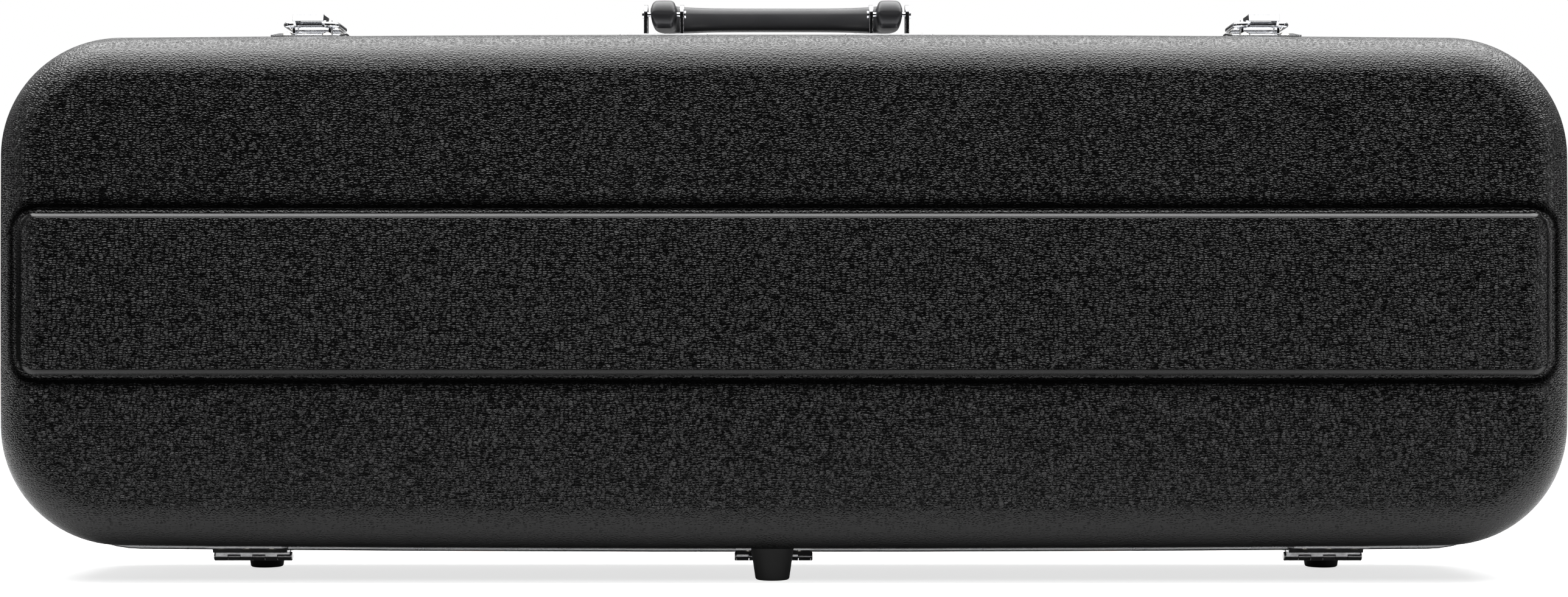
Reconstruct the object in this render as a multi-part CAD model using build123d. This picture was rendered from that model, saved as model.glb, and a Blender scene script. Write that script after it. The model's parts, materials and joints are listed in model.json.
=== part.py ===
from build123d import *
from collections import namedtuple
import math
import os

os.makedirs("parts", exist_ok=True)

# Oblong violin case standing on its hinge edge, closed, in millimetres.
# X runs along the case, -Y is the lid's side, +Y is the base's side, Z is up.
# The seam is the plane y = 0, the floor is z = 0. Left is -X, right is +X.

# ---- shells
MID_Z = 148.2            # mid-height of the shells
HALF_LEN = 403.0         # half length of a shell at the seam
HALF_HT = 134.45         # half height of a shell at the seam
BOW_LONG = 2.25          # how far a long side bows out
BOW_SHORT = 0.7          # how far a short side bows out
CORNER_R = 64.0          # plan corner radius at the seam
DRAFT = 4.0              # draft of the side walls, degrees
DEPTH = 63.7             # seam to the flat of a face
EDGE_R = 23.0            # fillet from side wall to face
WALL = 3.0               # sheet thickness
EDGE_GAP = 1.8           # seam to the sheet's edge, inside the rail
PANEL_RISE = 2.3         # how far the centre panel stands proud
PANEL_HALF_Z = 40.9      # half width of the centre panel
PANEL_HALF_X = 386.5     # half length of the centre panel
PANEL_DROP = 1.7         # how far the panel's middle sits below the shell's
PANEL_CORNER_R = 10.0
PANEL_TAPER = 42.0       # slope of the panel's sides, degrees
PANEL_INSET = 8.0        # outline offset of the body the panel is cut from
PANEL_EDGE_R = 18.0      # edge fillet of that body
PANEL_INNER_INSET_Z = 1.6

SLOPE = math.tan(math.radians(DRAFT))
WALL_RISE = WALL / math.cos(math.radians(DRAFT))   # wall thickness along Z
INSIDE_DEPTH = DEPTH - WALL
INSIDE_EDGE_R = EDGE_R - WALL

# ---- fasteners and clearances
RUN = 0.05               # radial running clearance
RIVET_R = 1.5
RIVET_HOLE_R = 1.55
PACKER_HOLE_R = 1.56
RIVET_TAIL_R = 2.5
PACKER_INSET = 1.5       # packer's end inside its plate's end
PACKER_BOTTOM_Z = 276    # inside the shell, before the shell is cut away

SIDES = {"lid": -1, "base": 1}
ENDS = (-1, 1)
LEFT_RIGHT = ("left", "right")
FRONT = Plane(origin=(0, 0, MID_Z), x_dir=(1, 0, 0), z_dir=(0, -1, 0))


# =====================================================================
# helpers
# =====================================================================
def save(name, shape):
    """Write a piece; a list of shapes becomes one compound of solids."""
    if isinstance(shape, list):
        shape = Compound(children=[solid for part in shape for solid in part.solids()])
    export_step(shape, f"parts/{name}.step")


def span(centre, half):
    return centre - half, centre + half


def box(x0, x1, y0, y1, z0, z1):
    middle = Pos((x0 + x1) / 2, (y0 + y1) / 2, (z0 + z1) / 2)
    return middle * Box(x1 - x0, y1 - y0, z1 - z0)


def rod_x(x0, x1, y, z, radius):
    return Pos((x0 + x1) / 2, y, z) * Rot(0, 90, 0) * Cylinder(radius, x1 - x0)


def rod_y(x, y0, y1, z, radius):
    return Pos(x, (y0 + y1) / 2, z) * Rot(90, 0, 0) * Cylinder(radius, y1 - y0)


def rod_z(x, y, z0, z1, radius):
    return Pos(x, y, (z0 + z1) / 2) * Cylinder(radius, z1 - z0)


def profile_x(points, x0, x1, side=1):
    """A closed (y, z) polygon swept from x0 to x1; side -1 puts it on the lid's side."""
    plane = Plane(origin=(x0, 0, 0), x_dir=(0, 1, 0), z_dir=(1, 0, 0))
    face = make_face(Polyline(*[(side * y, z) for y, z in points], close=True))
    return extrude(plane * face, amount=x1 - x0, dir=(1, 0, 0))


def dome(x, y, z, radius, height, up):
    """A domed rivet head standing on z (up = 1) or hanging from z (up = -1)."""
    sphere_r = (radius * radius + height * height) / (2 * height)
    cap = Pos(x, y, z + up * (height - sphere_r)) * Sphere(sphere_r)
    z0, z1 = sorted((z, z + up * (height + 1)))
    return cap & box(*span(x, radius + 1), *span(y, radius + 1), z0, z1)


def fuse(items):
    out = items[0]
    for item in items[1:]:
        out = out + item
    return out


def cut_all(shape, tools):
    for tool in tools:
        shape = shape - tool
    return shape


def largest(shape):
    return shape.solids().sort_by(SortBy.VOLUME)[-1]


def on_base(shape):
    return mirror(shape, Plane.XZ)


def try_fillet(shape, edges, radius):
    """Fillet edges of shape, or leave it sharp."""
    # guards against an edge selection that the kernel cannot fillet
    try:
        return fillet(edges, radius).solids()[0]
    except Exception:
        return shape


def soft_block(x0, x1, y0, y1, z0, z1, radius):
    """A box with every edge rounded."""
    return fillet(box(x0, x1, y0, y1, z0, z1).edges(), radius)


def top_rivet(x, y, seat_z, inside_z, head_r, tail_t):
    """A rivet through the top wall, domed outside, with a flat tail inside."""
    return fuse([
        dome(x, y, seat_z + 0.01, head_r, 1.3, up=1),
        rod_z(x, y, inside_z - 0.4, seat_z + 0.2, RIVET_R),
        rod_z(x, y, inside_z - tail_t, inside_z, RIVET_TAIL_R),
    ])


def pivot_ear(x, pivot, half_t, radius, foot_z):
    """A round-topped ear that carries a pivot along X."""
    y, z = pivot
    x0, x1 = span(x, half_t)
    return rod_x(x0, x1, y, z, radius) + box(x0, x1, *span(y, radius), foot_z, z)


def headed_pin(x, pivot, radius, half_l, head_in, head_out, head_r):
    """A pin along X with a plain head at each end."""
    pin = rod_x(*span(x, half_l), *pivot, radius)
    pin = pin + rod_x(x - head_out, x - head_in, *pivot, head_r)
    return pin + rod_x(x + head_in, x + head_out, *pivot, head_r)


# =====================================================================
# the shell's form
# =====================================================================
def outline(off):
    """The shell's plan outline at the seam, grown by off."""
    half_x, half_y = HALF_LEN + off, HALF_HT + off
    corner_x, corner_y = half_x - BOW_SHORT, half_y - BOW_LONG
    loop = Wire([
        ThreePointArc((-corner_x, -corner_y), (0, -half_y), (corner_x, -corner_y)).edge(),
        ThreePointArc((corner_x, -corner_y), (half_x, 0), (corner_x, corner_y)).edge(),
        ThreePointArc((corner_x, corner_y), (0, half_y), (-corner_x, corner_y)).edge(),
        ThreePointArc((-corner_x, corner_y), (-half_x, 0), (-corner_x, -corner_y)).edge(),
    ])
    return fillet(Face(loop).vertices(), CORNER_R + off)


def half_solid(off, depth, edge_r, start=0.0):
    """A drafted, filleted half on the lid's side, from start off the seam to depth."""
    solid = extrude(FRONT * outline(off), amount=depth, dir=(0, -1, 0), taper=DRAFT).solids()[0]
    far_face = solid.faces().sort_by(Axis.Y)[0]
    solid = fillet(far_face.edges(), edge_r).solids()[0]
    if start:
        solid = solid - box(-500, 500, -start, 100, *span(MID_Z, 200))
        solid = solid.solids()[0]
    return solid


def panel(off, depth, edge_r, half_x, half_z, base_y):
    """The raised centre panel, whose sides slope back to the face."""
    body = half_solid(off, depth, edge_r)
    plane = Plane(origin=(0, -base_y, MID_Z - PANEL_DROP), x_dir=(1, 0, 0), z_dir=(0, -1, 0))
    sketch = plane * RectangleRounded(2 * half_x, 2 * half_z, PANEL_CORNER_R)
    cut = extrude(sketch, amount=depth - base_y + 1.5, dir=(0, -1, 0), taper=PANEL_TAPER)
    return body & cut


def lid_shell_blank():
    """The lid's sheet before its holes are made."""
    outer = half_solid(0.0, DEPTH, EDGE_R)
    outer = outer + panel(-PANEL_INSET, DEPTH + PANEL_RISE, PANEL_EDGE_R,
                          PANEL_HALF_X, PANEL_HALF_Z, DEPTH - 1.0)
    inner = half_solid(-WALL, INSIDE_DEPTH, INSIDE_EDGE_R)
    inner = inner + panel(-PANEL_INSET - WALL, INSIDE_DEPTH + PANEL_RISE, PANEL_EDGE_R - WALL,
                          PANEL_HALF_X - WALL, PANEL_HALF_Z - PANEL_INNER_INSET_Z,
                          INSIDE_DEPTH - 1.0)
    return outer - inner - box(-500, 500, -EDGE_GAP, 50, -50, 400)


def bow_drop(x, off):
    """How far a long side has fallen back at x from its crown at x = 0."""
    half = HALF_LEN + off - BOW_SHORT
    radius = (half * half + BOW_LONG * BOW_LONG) / (2 * BOW_LONG)
    return radius - math.sqrt(radius * radius - x * x)


def wall_z(x, y, top=False):
    """Height of the shell's outer face at x, y, on the bottom or the top long side."""
    reach = HALF_HT - abs(y) * SLOPE - bow_drop(x, 0.0)
    return MID_Z + (reach if top else -reach)


shells = {"lid": lid_shell_blank()}
shells["base"] = on_base(shells["lid"])
holes = {"lid": [], "base": []}

# the shell's outside, a touch larger, to trim whatever seats on it
grown = {"lid": half_solid(0.05, DEPTH + 0.05, EDGE_R)}
grown["base"] = on_base(grown["lid"])

# =====================================================================
# rails: an outer skirt, a flange over the sheet's edge; the base's one
# carries the tongue that the lid closes over
# =====================================================================
RAIL_PROUD = 2.0
RAIL_SKIRT = 7.0
RAIL_FLANGE = 1.6
RAIL_SEAM_GAP = 0.15     # seam to either flange
RAIL_SKIRT_IN = 0.1      # outline offset of the skirt's inner face
LID_FLANGE_IN = 1.9
RAIL_EDGE_R = 0.9
TONGUE_IN, TONGUE_OUT, TONGUE_DROP = 4.8, 3.6, 4.0


def rail_bottom_z(x):
    """Height of the rail's outer face at x, on the bottom long side."""
    return MID_Z - (HALF_HT + RAIL_PROUD - bow_drop(x, RAIL_PROUD))


def ring(off_out, off_in, y0, y1):
    """A straight-sided frame between two offsets of the outline, from y0 to y1."""
    frame = FRONT * outline(off_out) - FRONT * outline(off_in)
    return Pos(0, y0, 0) * extrude(frame, amount=y1 - y0, dir=(0, 1, 0))


def outside_by(x, z):
    """Roughly how far a point (z from mid-height) stands outside the seam outline."""
    corner_x = abs(x) - (HALF_LEN - CORNER_R)
    corner_z = abs(z) - (HALF_HT - CORNER_R)
    if corner_x > 0 and corner_z > 0:
        return math.hypot(corner_x, corner_z) - CORNER_R
    return max(abs(x) - HALF_LEN, abs(z) - HALF_HT + (x / HALF_LEN) ** 2 * BOW_LONG)


def soften(rail, y):
    """Round a rail's outer edge at y."""
    edges = []
    for edge in rail.edges():
        mid = edge @ 0.5
        outermost = outside_by(mid.X, mid.Z - MID_Z) > RAIL_PROUD - 0.3
        if abs(mid.Y - y) < 0.02 and edge.length > 20 and outermost:
            edges.append(edge)
    return try_fillet(rail, edges, RAIL_EDGE_R)


def base_rail():
    rail = fuse([
        ring(RAIL_PROUD, -TONGUE_IN, RAIL_SEAM_GAP, RAIL_FLANGE),
        ring(RAIL_PROUD, RAIL_SKIRT_IN, RAIL_FLANGE - 0.01, RAIL_SKIRT),
        ring(-TONGUE_OUT, -TONGUE_IN, -TONGUE_DROP, RAIL_SEAM_GAP + 0.01),
    ])
    return soften(rail, RAIL_SKIRT)


def lid_rail():
    rail = fuse([
        ring(RAIL_PROUD, -LID_FLANGE_IN, -RAIL_FLANGE, -RAIL_SEAM_GAP),
        ring(RAIL_PROUD, RAIL_SKIRT_IN, -RAIL_SKIRT, -RAIL_FLANGE + 0.01),
    ])
    return soften(rail, -RAIL_SKIRT)


save("base_rail", base_rail())
save("lid_rail", lid_rail())

# =====================================================================
# hinges, under the bottom long side
# =====================================================================
HINGES = {"left": -281.2, "middle": -5.5, "right": 285.4}   # name: x
HINGE_Z = 8.95
KNUCKLE_R = 2.3
KNUCKLES = 6
KNUCKLE_L = 6.53
KNUCKLE_GAP = 0.12
HINGE_HALF = KNUCKLES * KNUCKLE_L / 2
PIN_R = 1.0
PIN_HEAD_R, PIN_HEAD_T = 2.35, 0.95
LEAF_T = 1.2
LEAF_WALL_Y = 9.5        # where the leaf's slope is set from the shell
LEAF_OUT_Y = 20.5
LEAF_WALL_GAP = 0.12
HINGE_RIVET_PITCH, HINGE_RIVET_Y = 13.0, 14.8


def hinge_leaf(hinge_x, side):
    x0, x1 = span(hinge_x, HINGE_HALF)
    rail = min(rail_bottom_z(x0), rail_bottom_z(x1)) - 0.03
    wall = min(wall_z(x0, LEAF_WALL_Y), wall_z(x1, LEAF_WALL_Y)) - LEAF_WALL_GAP
    outer = wall + (LEAF_OUT_Y - LEAF_WALL_Y) * SLOPE
    inner_y = KNUCKLE_R - LEAF_T
    points = [
        (inner_y, HINGE_Z), (inner_y, rail), (7.6, rail), (8.3, wall), (LEAF_OUT_Y, outer),
        (LEAF_OUT_Y, outer - LEAF_T), (8.9, wall - LEAF_T + 0.04), (8.1, rail - LEAF_T),
        (KNUCKLE_R, rail - LEAF_T), (KNUCKLE_R, HINGE_Z),
    ]
    leaf = profile_x(points, x0, x1, side) + rod_x(x0, x1, 0, HINGE_Z, KNUCKLE_R)
    # the lid's leaf keeps the even knuckles, the base's the odd ones
    for i in range(0 if side > 0 else 1, KNUCKLES, 2):
        start = x0 + i * KNUCKLE_L
        leaf = leaf - rod_x(start - KNUCKLE_GAP, start + KNUCKLE_L + KNUCKLE_GAP,
                            0, HINGE_Z, KNUCKLE_R + KNUCKLE_GAP)
    return leaf - rod_x(x0 - 1, x1 + 1, 0, HINGE_Z, PIN_R + RUN)


def hinge_rivet(x, y, seat_z):
    inside = wall_z(x, y) + WALL_RISE + 0.45
    return fuse([
        dome(x, y, seat_z + 0.02, 2.7, 1.1, up=-1),
        rod_z(x, y, seat_z - 0.1, inside + 0.3, RIVET_R),
        rod_z(x, y, inside, inside + 0.9, RIVET_TAIL_R),
    ])


def hinge_pin(hinge_x):
    pin = rod_x(*span(hinge_x, HINGE_HALF + 0.1), 0, HINGE_Z, PIN_R)
    for end in ENDS:
        inner_x = hinge_x + end * (HINGE_HALF + 0.08)
        outer_x = inner_x + end * PIN_HEAD_T
        head = rod_x(min(inner_x, outer_x), max(inner_x, outer_x), 0, HINGE_Z, PIN_HEAD_R)
        rim = [e for e in head.edges() if abs(e.center().X - outer_x) < 0.01]
        pin = pin + chamfer(rim, 0.35)
    return pin


hinge_rivets = {"lid": [], "base": []}
for name, hinge_x in HINGES.items():
    for part, side in SIDES.items():
        leaf = hinge_leaf(hinge_x, side)
        for i in (-1, 0, 1):
            x, y = hinge_x + i * HINGE_RIVET_PITCH, side * HINGE_RIVET_Y
            seat_z = wall_z(x, y) - LEAF_WALL_GAP - LEAF_T - 0.42
            hole = rod_z(x, y, seat_z - 6, seat_z + 12, RIVET_HOLE_R)
            holes[part].append(hole)
            leaf = leaf - hole
            hinge_rivets[part].append(hinge_rivet(x, y, seat_z))
        save(f"hinge_leaf_{part}_{name}", leaf)
    save(f"hinge_pin_{name}", hinge_pin(hinge_x))
for part in SIDES:
    save(f"hinge_rivets_{part}", hinge_rivets[part])

# =====================================================================
# feet: tapered rubber, each held by a screw with a nut inside the shell
# =====================================================================
FOOT_R_TOP, FOOT_R_BOTTOM = 11.0, 8.65
FOOT_FRONT = (-6.0, -33.0)                       # x, y
FOOT_REAR = ((-282.4, 37.0), (293.4, 37.0))
FOOT_EDGE_R = 1.4
FOOT_RECESS_R, FOOT_RECESS_Z = 4.1, 5.0
FOOT_HOLE_R = 2.05
SCREW_R = 2.0
SCREW_HEAD_R, SCREW_HEAD_Z0, SCREW_HEAD_T = 3.9, 2.3, 2.6
NUT_R, NUT_T = 3.9, 2.6


def foot(x, y, shell):
    """A foot, its top trimmed to the shell."""
    wall = wall_z(x, y)
    top = wall + 2.5
    flare = (FOOT_R_TOP - FOOT_R_BOTTOM) / wall
    body = Pos(x, y, top / 2) * Cone(FOOT_R_BOTTOM, FOOT_R_BOTTOM + flare * top, top)
    body = fillet([e for e in body.edges() if abs(e.center().Z) < 0.01], FOOT_EDGE_R)
    body = body - shell
    body = body - rod_z(x, y, -1, FOOT_RECESS_Z, FOOT_RECESS_R)
    body = body - rod_z(x, y, 0, 40, FOOT_HOLE_R)
    return body.solids().sort_by(Axis.Z)[0]


def foot_screw(x, y):
    """A cross-slotted screw, head down, with its hexagonal nut."""
    nut_z = wall_z(x, y) + WALL_RISE + 0.75
    middle = SCREW_HEAD_Z0 + SCREW_HEAD_T / 2
    head = Pos(x, y, middle) * Cylinder(SCREW_HEAD_R, SCREW_HEAD_T)
    head = fillet([e for e in head.edges() if abs(e.center().Z - SCREW_HEAD_Z0) < 0.01], 1.0)
    slot = (box(*span(x, 3.2), *span(y, 0.5), 2.2, 3.2)
            + box(*span(x, 0.5), *span(y, 3.2), 2.2, 3.2))
    nut = Pos(x, y, nut_z) * extrude(RegularPolygon(NUT_R, 6), amount=NUT_T)
    return (head - slot) + rod_z(x, y, middle, nut_z + 3.2, SCREW_R) + nut


save("foot_front", foot(*FOOT_FRONT, grown["lid"]))
save("foot_screw_front", foot_screw(*FOOT_FRONT))
holes["lid"].append(rod_z(*FOOT_FRONT, 5, 30, FOOT_HOLE_R))
for name, place in zip(LEFT_RIGHT, FOOT_REAR):
    save(f"foot_rear_{name}", foot(*place, grown["base"]))
    holes["base"].append(rod_z(*place, 5, 30, FOOT_HOLE_R))
save("foot_screws_rear", [foot_screw(*place) for place in FOOT_REAR])

# =====================================================================
# latches, on the top long side: plate, lever and bail on the lid,
# keeper on the base
# =====================================================================
LATCH_X = (-248.1, 250.3)
LATCH_Z = 283.96         # under side of the latch plates, on the rail
LATCH_PLATE_W, LATCH_PLATE_T = 35.5, 1.2
LATCH_HALF_W = LATCH_PLATE_W / 2
LATCH_TOP_Z = LATCH_Z + LATCH_PLATE_T
LATCH_PLATE_IN_Y = 0.8
LATCH_BEND_Y = 7.3
LATCH_RIVET_X = 10.2     # either side of the latch's middle
LATCH_CORNER_R = 2.5
LATCH_PACKER_IN_Y = 7.5
LATCH_PACKER_GAP = 0.06
# bend in degrees, y distances from the seam, depth of the rivet's tail below LATCH_Z
LatchSide = namedtuple("LatchSide", "side bend plate_y rivet_y packer_y tail_depth")
LATCH_SIDES = {
    "lid": LatchSide(-1, 10.0, 30.3, 22.0, 25.0, 4.5),
    "base": LatchSide(1, 12.0, 24.0, 17.5, 21.0, 4.75),
}

LEVER_PIVOT = (-8.0, 289.2)      # y, z
LATCH_PIN_R = 1.1
LATCH_EAR_X, LATCH_EAR_HALF_T, LATCH_EAR_R = 9.4, 0.6, 2.8
BAIL_PIVOT = (-13.0, 289.1)      # y, z
BAIL_R = 1.4
BAIL_W = 29.7
BAIL_FRONT_Y = 11.0
BAIL_CORNER_R = 3.2

LEVER_HALF_W, LEVER_T = 8.0, 1.2
LEVER_BOTTOM_Z = 292.15          # under side of the lever's web
LEVER_TOP_Z = LEVER_BOTTOM_Z + LEVER_T
LIP_TOP_Z = 294.0
# (y, z) profiles
LEVER_LIP = [(-21.3, 289.7), (-19.65, LIP_TOP_Z), (-18.35, LIP_TOP_Z), (-20.0, 289.7)]
LEVER_CHEEK = [
    (-19.6, LEVER_BOTTOM_Z + 0.3), (-5.6, LEVER_BOTTOM_Z + 0.3), (-5.2, LEVER_PIVOT[1]),
    (-7.0, 287.2), (-16.0, 287.2), (-18.0, 288.2), (-20.3, 290.2),
]
KEEPER_LIP = [
    (4.2, LATCH_TOP_Z - 0.4), (5.6, 286.2), (7.0, 287.05), (8.3, 287.1), (9.0, 286.3),
    (8.2, 286.0), (7.2, 285.9), (6.6, 285.2), (5.9, LATCH_TOP_Z - 0.4),
]
KEEPER_LIP_HALF = 10


def bent(shape, spec):
    """Tilt what lies beyond the rail down onto the sloping shell."""
    axis = Axis((0, spec.side * LATCH_BEND_Y, LATCH_Z), (1, 0, 0))
    return shape.rotate(axis, -spec.side * spec.bend)


def latch_hole(x, spec, z0=270, z1=290, radius=RIVET_HOLE_R):
    return bent(rod_z(x, spec.side * spec.rivet_y, z0, z1, radius), spec)


def latch_plate(latch_x, spec):
    """A plate that lies flat over the rail and bends down to the shell."""
    angle = math.radians(spec.bend)
    thick = LATCH_PLATE_T
    run = spec.plate_y - LATCH_BEND_Y
    end_y = LATCH_BEND_Y + run * math.cos(angle)
    end_z = LATCH_Z - run * math.sin(angle)
    points = [
        (LATCH_PLATE_IN_Y, LATCH_Z), (LATCH_BEND_Y, LATCH_Z), (end_y, end_z),
        (end_y + thick * math.sin(angle), end_z + thick * math.cos(angle)),
        (LATCH_BEND_Y + thick * math.tan(angle / 2), LATCH_TOP_Z),
        (LATCH_PLATE_IN_Y, LATCH_TOP_Z),
    ]
    plate = profile_x(points, *span(latch_x, LATCH_HALF_W), spec.side)
    corners = [e for e in plate.edges()
               if e.length < thick + 0.05 and abs(e.center().Y) > end_y - 0.5]
    return fillet(corners, LATCH_CORNER_R)


def latch_rivet(x, spec):
    inside = LATCH_Z - spec.tail_depth
    return bent(top_rivet(x, spec.side * spec.rivet_y, LATCH_TOP_Z, inside, 2.75, 0.7), spec)


def latch_packer(latch_x, part):
    """A wedge that fills the gap between the plate and the shell."""
    spec = LATCH_SIDES[part]
    top = LATCH_Z - LATCH_PACKER_GAP
    fall = (spec.packer_y - LATCH_BEND_Y) * math.tan(math.radians(spec.bend))
    points = [(LATCH_PACKER_IN_Y, PACKER_BOTTOM_Z), (LATCH_PACKER_IN_Y, top),
              (spec.packer_y, top - fall), (spec.packer_y, PACKER_BOTTOM_Z)]
    packer = profile_x(points, *span(latch_x, LATCH_HALF_W - PACKER_INSET), spec.side)
    packer = packer - grown[part]
    for end in ENDS:
        packer = packer - latch_hole(latch_x + end * LATCH_RIVET_X, spec, 265, 295,
                                     PACKER_HOLE_R)
    return largest(packer)


def lid_latch_plate(latch_x):
    """The lid's plate, with two ears for the lever's pivot."""
    plate = latch_plate(latch_x, LATCH_SIDES["lid"])
    for end in ENDS:
        plate = plate + pivot_ear(latch_x + end * LATCH_EAR_X, LEVER_PIVOT,
                                  LATCH_EAR_HALF_T, LATCH_EAR_R, LATCH_Z + 0.35)
    return plate - rod_x(*span(latch_x, 12), *LEVER_PIVOT, LATCH_PIN_R + RUN)


def latch_keeper(latch_x):
    """The base's plate, with a hooked lip."""
    lip = profile_x(KEEPER_LIP, *span(latch_x, KEEPER_LIP_HALF))
    return latch_plate(latch_x, LATCH_SIDES["base"]) + lip


def latch_lever(latch_x):
    """A folded channel with an upturned finger lip."""
    x0, x1 = span(latch_x, LEVER_HALF_W)
    lever = box(x0, x1, -20.0, -5.4, LEVER_BOTTOM_Z, LEVER_TOP_Z)
    lever = lever + profile_x(LEVER_LIP, x0, x1)
    for end in ENDS:
        cheek_x = latch_x + end * (LEVER_HALF_W - LEVER_T / 2)
        lever = lever + profile_x(LEVER_CHEEK, *span(cheek_x, LEVER_T / 2))
    lever = lever - rod_x(*span(latch_x, 12), *LEVER_PIVOT, LATCH_PIN_R + RUN)
    lever = lever - rod_x(*span(latch_x, 12), *BAIL_PIVOT, BAIL_R + RUN)
    lever = lever.solids()[0]
    lip_edges = [e for e in lever.edges() if abs(e.center().Z - LIP_TOP_Z) < 0.01]
    lever = try_fillet(lever, lip_edges, 0.4)
    long_edges = [e for e in lever.edges()
                  if abs(e.center().Z - LEVER_TOP_Z) < 0.01
                  and abs(abs(e.center().X - latch_x) - LEVER_HALF_W) < 0.01]
    return try_fillet(lever, long_edges, 0.7)


def latch_bail(latch_x):
    """A closed rounded rectangle of round wire."""
    pivot_y, pivot_z = BAIL_PIVOT
    plane = Plane(origin=(latch_x, (pivot_y + BAIL_FRONT_Y) / 2, pivot_z),
                  x_dir=(1, 0, 0), z_dir=(0, 0, 1))
    loop = RectangleRounded(BAIL_W - 2 * BAIL_R, BAIL_FRONT_Y - pivot_y, BAIL_CORNER_R)
    path = (plane * loop).wire()
    section = Plane(origin=path @ 0, z_dir=path % 0) * Circle(BAIL_R)
    return sweep(section, path=path)


latch_rivets = {"lid": [], "base": []}
latch_packers = {"lid": [], "base": []}
for name, latch_x in zip(LEFT_RIGHT, LATCH_X):
    plates = {"lid": lid_latch_plate(latch_x), "base": latch_keeper(latch_x)}
    for part, spec in LATCH_SIDES.items():
        for end in ENDS:
            x = latch_x + end * LATCH_RIVET_X
            hole = latch_hole(x, spec)
            holes[part].append(hole)
            plates[part] = plates[part] - hole
            latch_rivets[part].append(latch_rivet(x, spec))
        latch_packers[part].append(latch_packer(latch_x, part))
    save(f"latch_plate_{name}", plates["lid"])
    save(f"latch_keeper_{name}", plates["base"])
    save(f"latch_lever_{name}", latch_lever(latch_x))
    save(f"latch_pin_{name}",
         headed_pin(latch_x, LEVER_PIVOT, LATCH_PIN_R, 10.6, 10.15, 11.3, head_r=1.9))
    save(f"latch_bail_{name}", latch_bail(latch_x))
for part in SIDES:
    save(f"latch_rivets_{part}", latch_rivets[part])
    save(f"latch_packers_{part}", latch_packers[part])

# =====================================================================
# handle, on the base: a moulded bow with a hub at each end, between two ears
# =====================================================================
HANDLE_X = -4.0
HANDLE_HUB = 60.0        # hub centre from the handle's centre
HANDLE_PIVOT = (9.0, 297.5)      # y, z
HANDLE_Z = 284.75        # under side of the bracket plates, on the rail
BRACKET_TOP_Z = HANDLE_Z + 1.5
BRACKET_HALF = 23.8
BRACKET_Y = (0.8, 17.2)
BRACKET_EAR_X, BRACKET_EAR_HALF_T, BRACKET_EAR_R = 9.6, 1.0, 5.0
BRACKET_RIVET_X, BRACKET_RIVET_Y = 17.8, 9.6
HANDLE_PIN_R = 1.2
GRIP_Y = 30.5
GRIP_THICK = 13.4
HUB_R, HUB_HALF_W = 7.5, 7.0
ARM_HALF_Z = 6.3
HUB_EDGE_R = 2.2


def handle_bracket(hub_x):
    bracket = box(*span(hub_x, BRACKET_HALF), *BRACKET_Y, HANDLE_Z, BRACKET_TOP_Z)
    bracket = fillet(bracket.edges().filter_by(Axis.Z), 4.0)
    bracket = chamfer(bracket.faces().sort_by(Axis.Z)[-1].edges(), 0.4)
    for end in ENDS:
        bracket = bracket + pivot_ear(hub_x + end * BRACKET_EAR_X, HANDLE_PIVOT,
                                      BRACKET_EAR_HALF_T, BRACKET_EAR_R, BRACKET_TOP_Z - 0.5)
    return bracket - rod_x(*span(hub_x, 14), *HANDLE_PIVOT, HANDLE_PIN_R + RUN)


def handle_rivet(x):
    inside = wall_z(x, BRACKET_RIVET_Y, top=True) - WALL_RISE - 0.5
    return top_rivet(x, BRACKET_RIVET_Y, BRACKET_TOP_Z, inside, 2.9, 0.9)


def handle_packer(hub_x):
    packer = box(*span(hub_x, BRACKET_HALF - PACKER_INSET), RAIL_SKIRT + 0.2,
                 BRACKET_Y[1] - 1.0, PACKER_BOTTOM_Z, HANDLE_Z - 0.03) - grown["base"]
    for end in ENDS:
        packer = packer - rod_z(hub_x + end * BRACKET_RIVET_X, BRACKET_RIVET_Y, 270, 292,
                                PACKER_HOLE_R)
    return packer.solids().sort_by(Axis.Z)[-1]


def handle_grip(hub_xs):
    """Hubs, short arms running out in +Y between the ears, and a bar."""
    pivot_y, pivot_z = HANDLE_PIVOT
    half = HANDLE_HUB + HUB_HALF_W
    bar = Pos(HANDLE_X, GRIP_Y, pivot_z) * Box(2 * half, GRIP_THICK, GRIP_THICK)
    bar = fillet(bar.edges().filter_by(Axis.X), 5.0)
    end_edges = [e for e in bar.edges() if abs(abs(e.center().X - HANDLE_X) - half) < 0.01]
    parts = [fillet(end_edges, 1.5)]
    for hub_x in hub_xs:
        x0, x1 = span(hub_x, HUB_HALF_W)
        hub = rod_x(x0, x1, pivot_y, pivot_z, HUB_R)
        hub = fillet([e for e in hub.edges() if e.geom_type == GeomType.CIRCLE], HUB_EDGE_R)
        arm = box(x0, x1, pivot_y, GRIP_Y, *span(pivot_z, ARM_HALF_Z))
        arm = fillet(arm.edges().filter_by(Axis.Y), HUB_EDGE_R)
        parts += [hub, arm]
    bores = [rod_x(*span(hub_x, 12), *HANDLE_PIVOT, HANDLE_PIN_R + RUN) for hub_x in hub_xs]
    return cut_all(fuse(parts), bores)


hub_xs = span(HANDLE_X, HANDLE_HUB)
handle_rivets = []
for name, hub_x in zip(LEFT_RIGHT, hub_xs):
    bracket = handle_bracket(hub_x)
    for end in ENDS:
        x = hub_x + end * BRACKET_RIVET_X
        hole = rod_z(x, BRACKET_RIVET_Y, 270, 292, RIVET_HOLE_R)
        holes["base"].append(hole)
        bracket = bracket - hole
        handle_rivets.append(handle_rivet(x))
    save(f"handle_bracket_{name}", bracket)
    save(f"handle_pin_{name}",
         headed_pin(hub_x, HANDLE_PIVOT, HANDLE_PIN_R, 10.9, 10.72, 11.7, head_r=2.0))
save("handle_rivets", handle_rivets)
save("handle_packers", [handle_packer(hub_x) for hub_x in hub_xs])
save("handle_grip", handle_grip(hub_xs))

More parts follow.
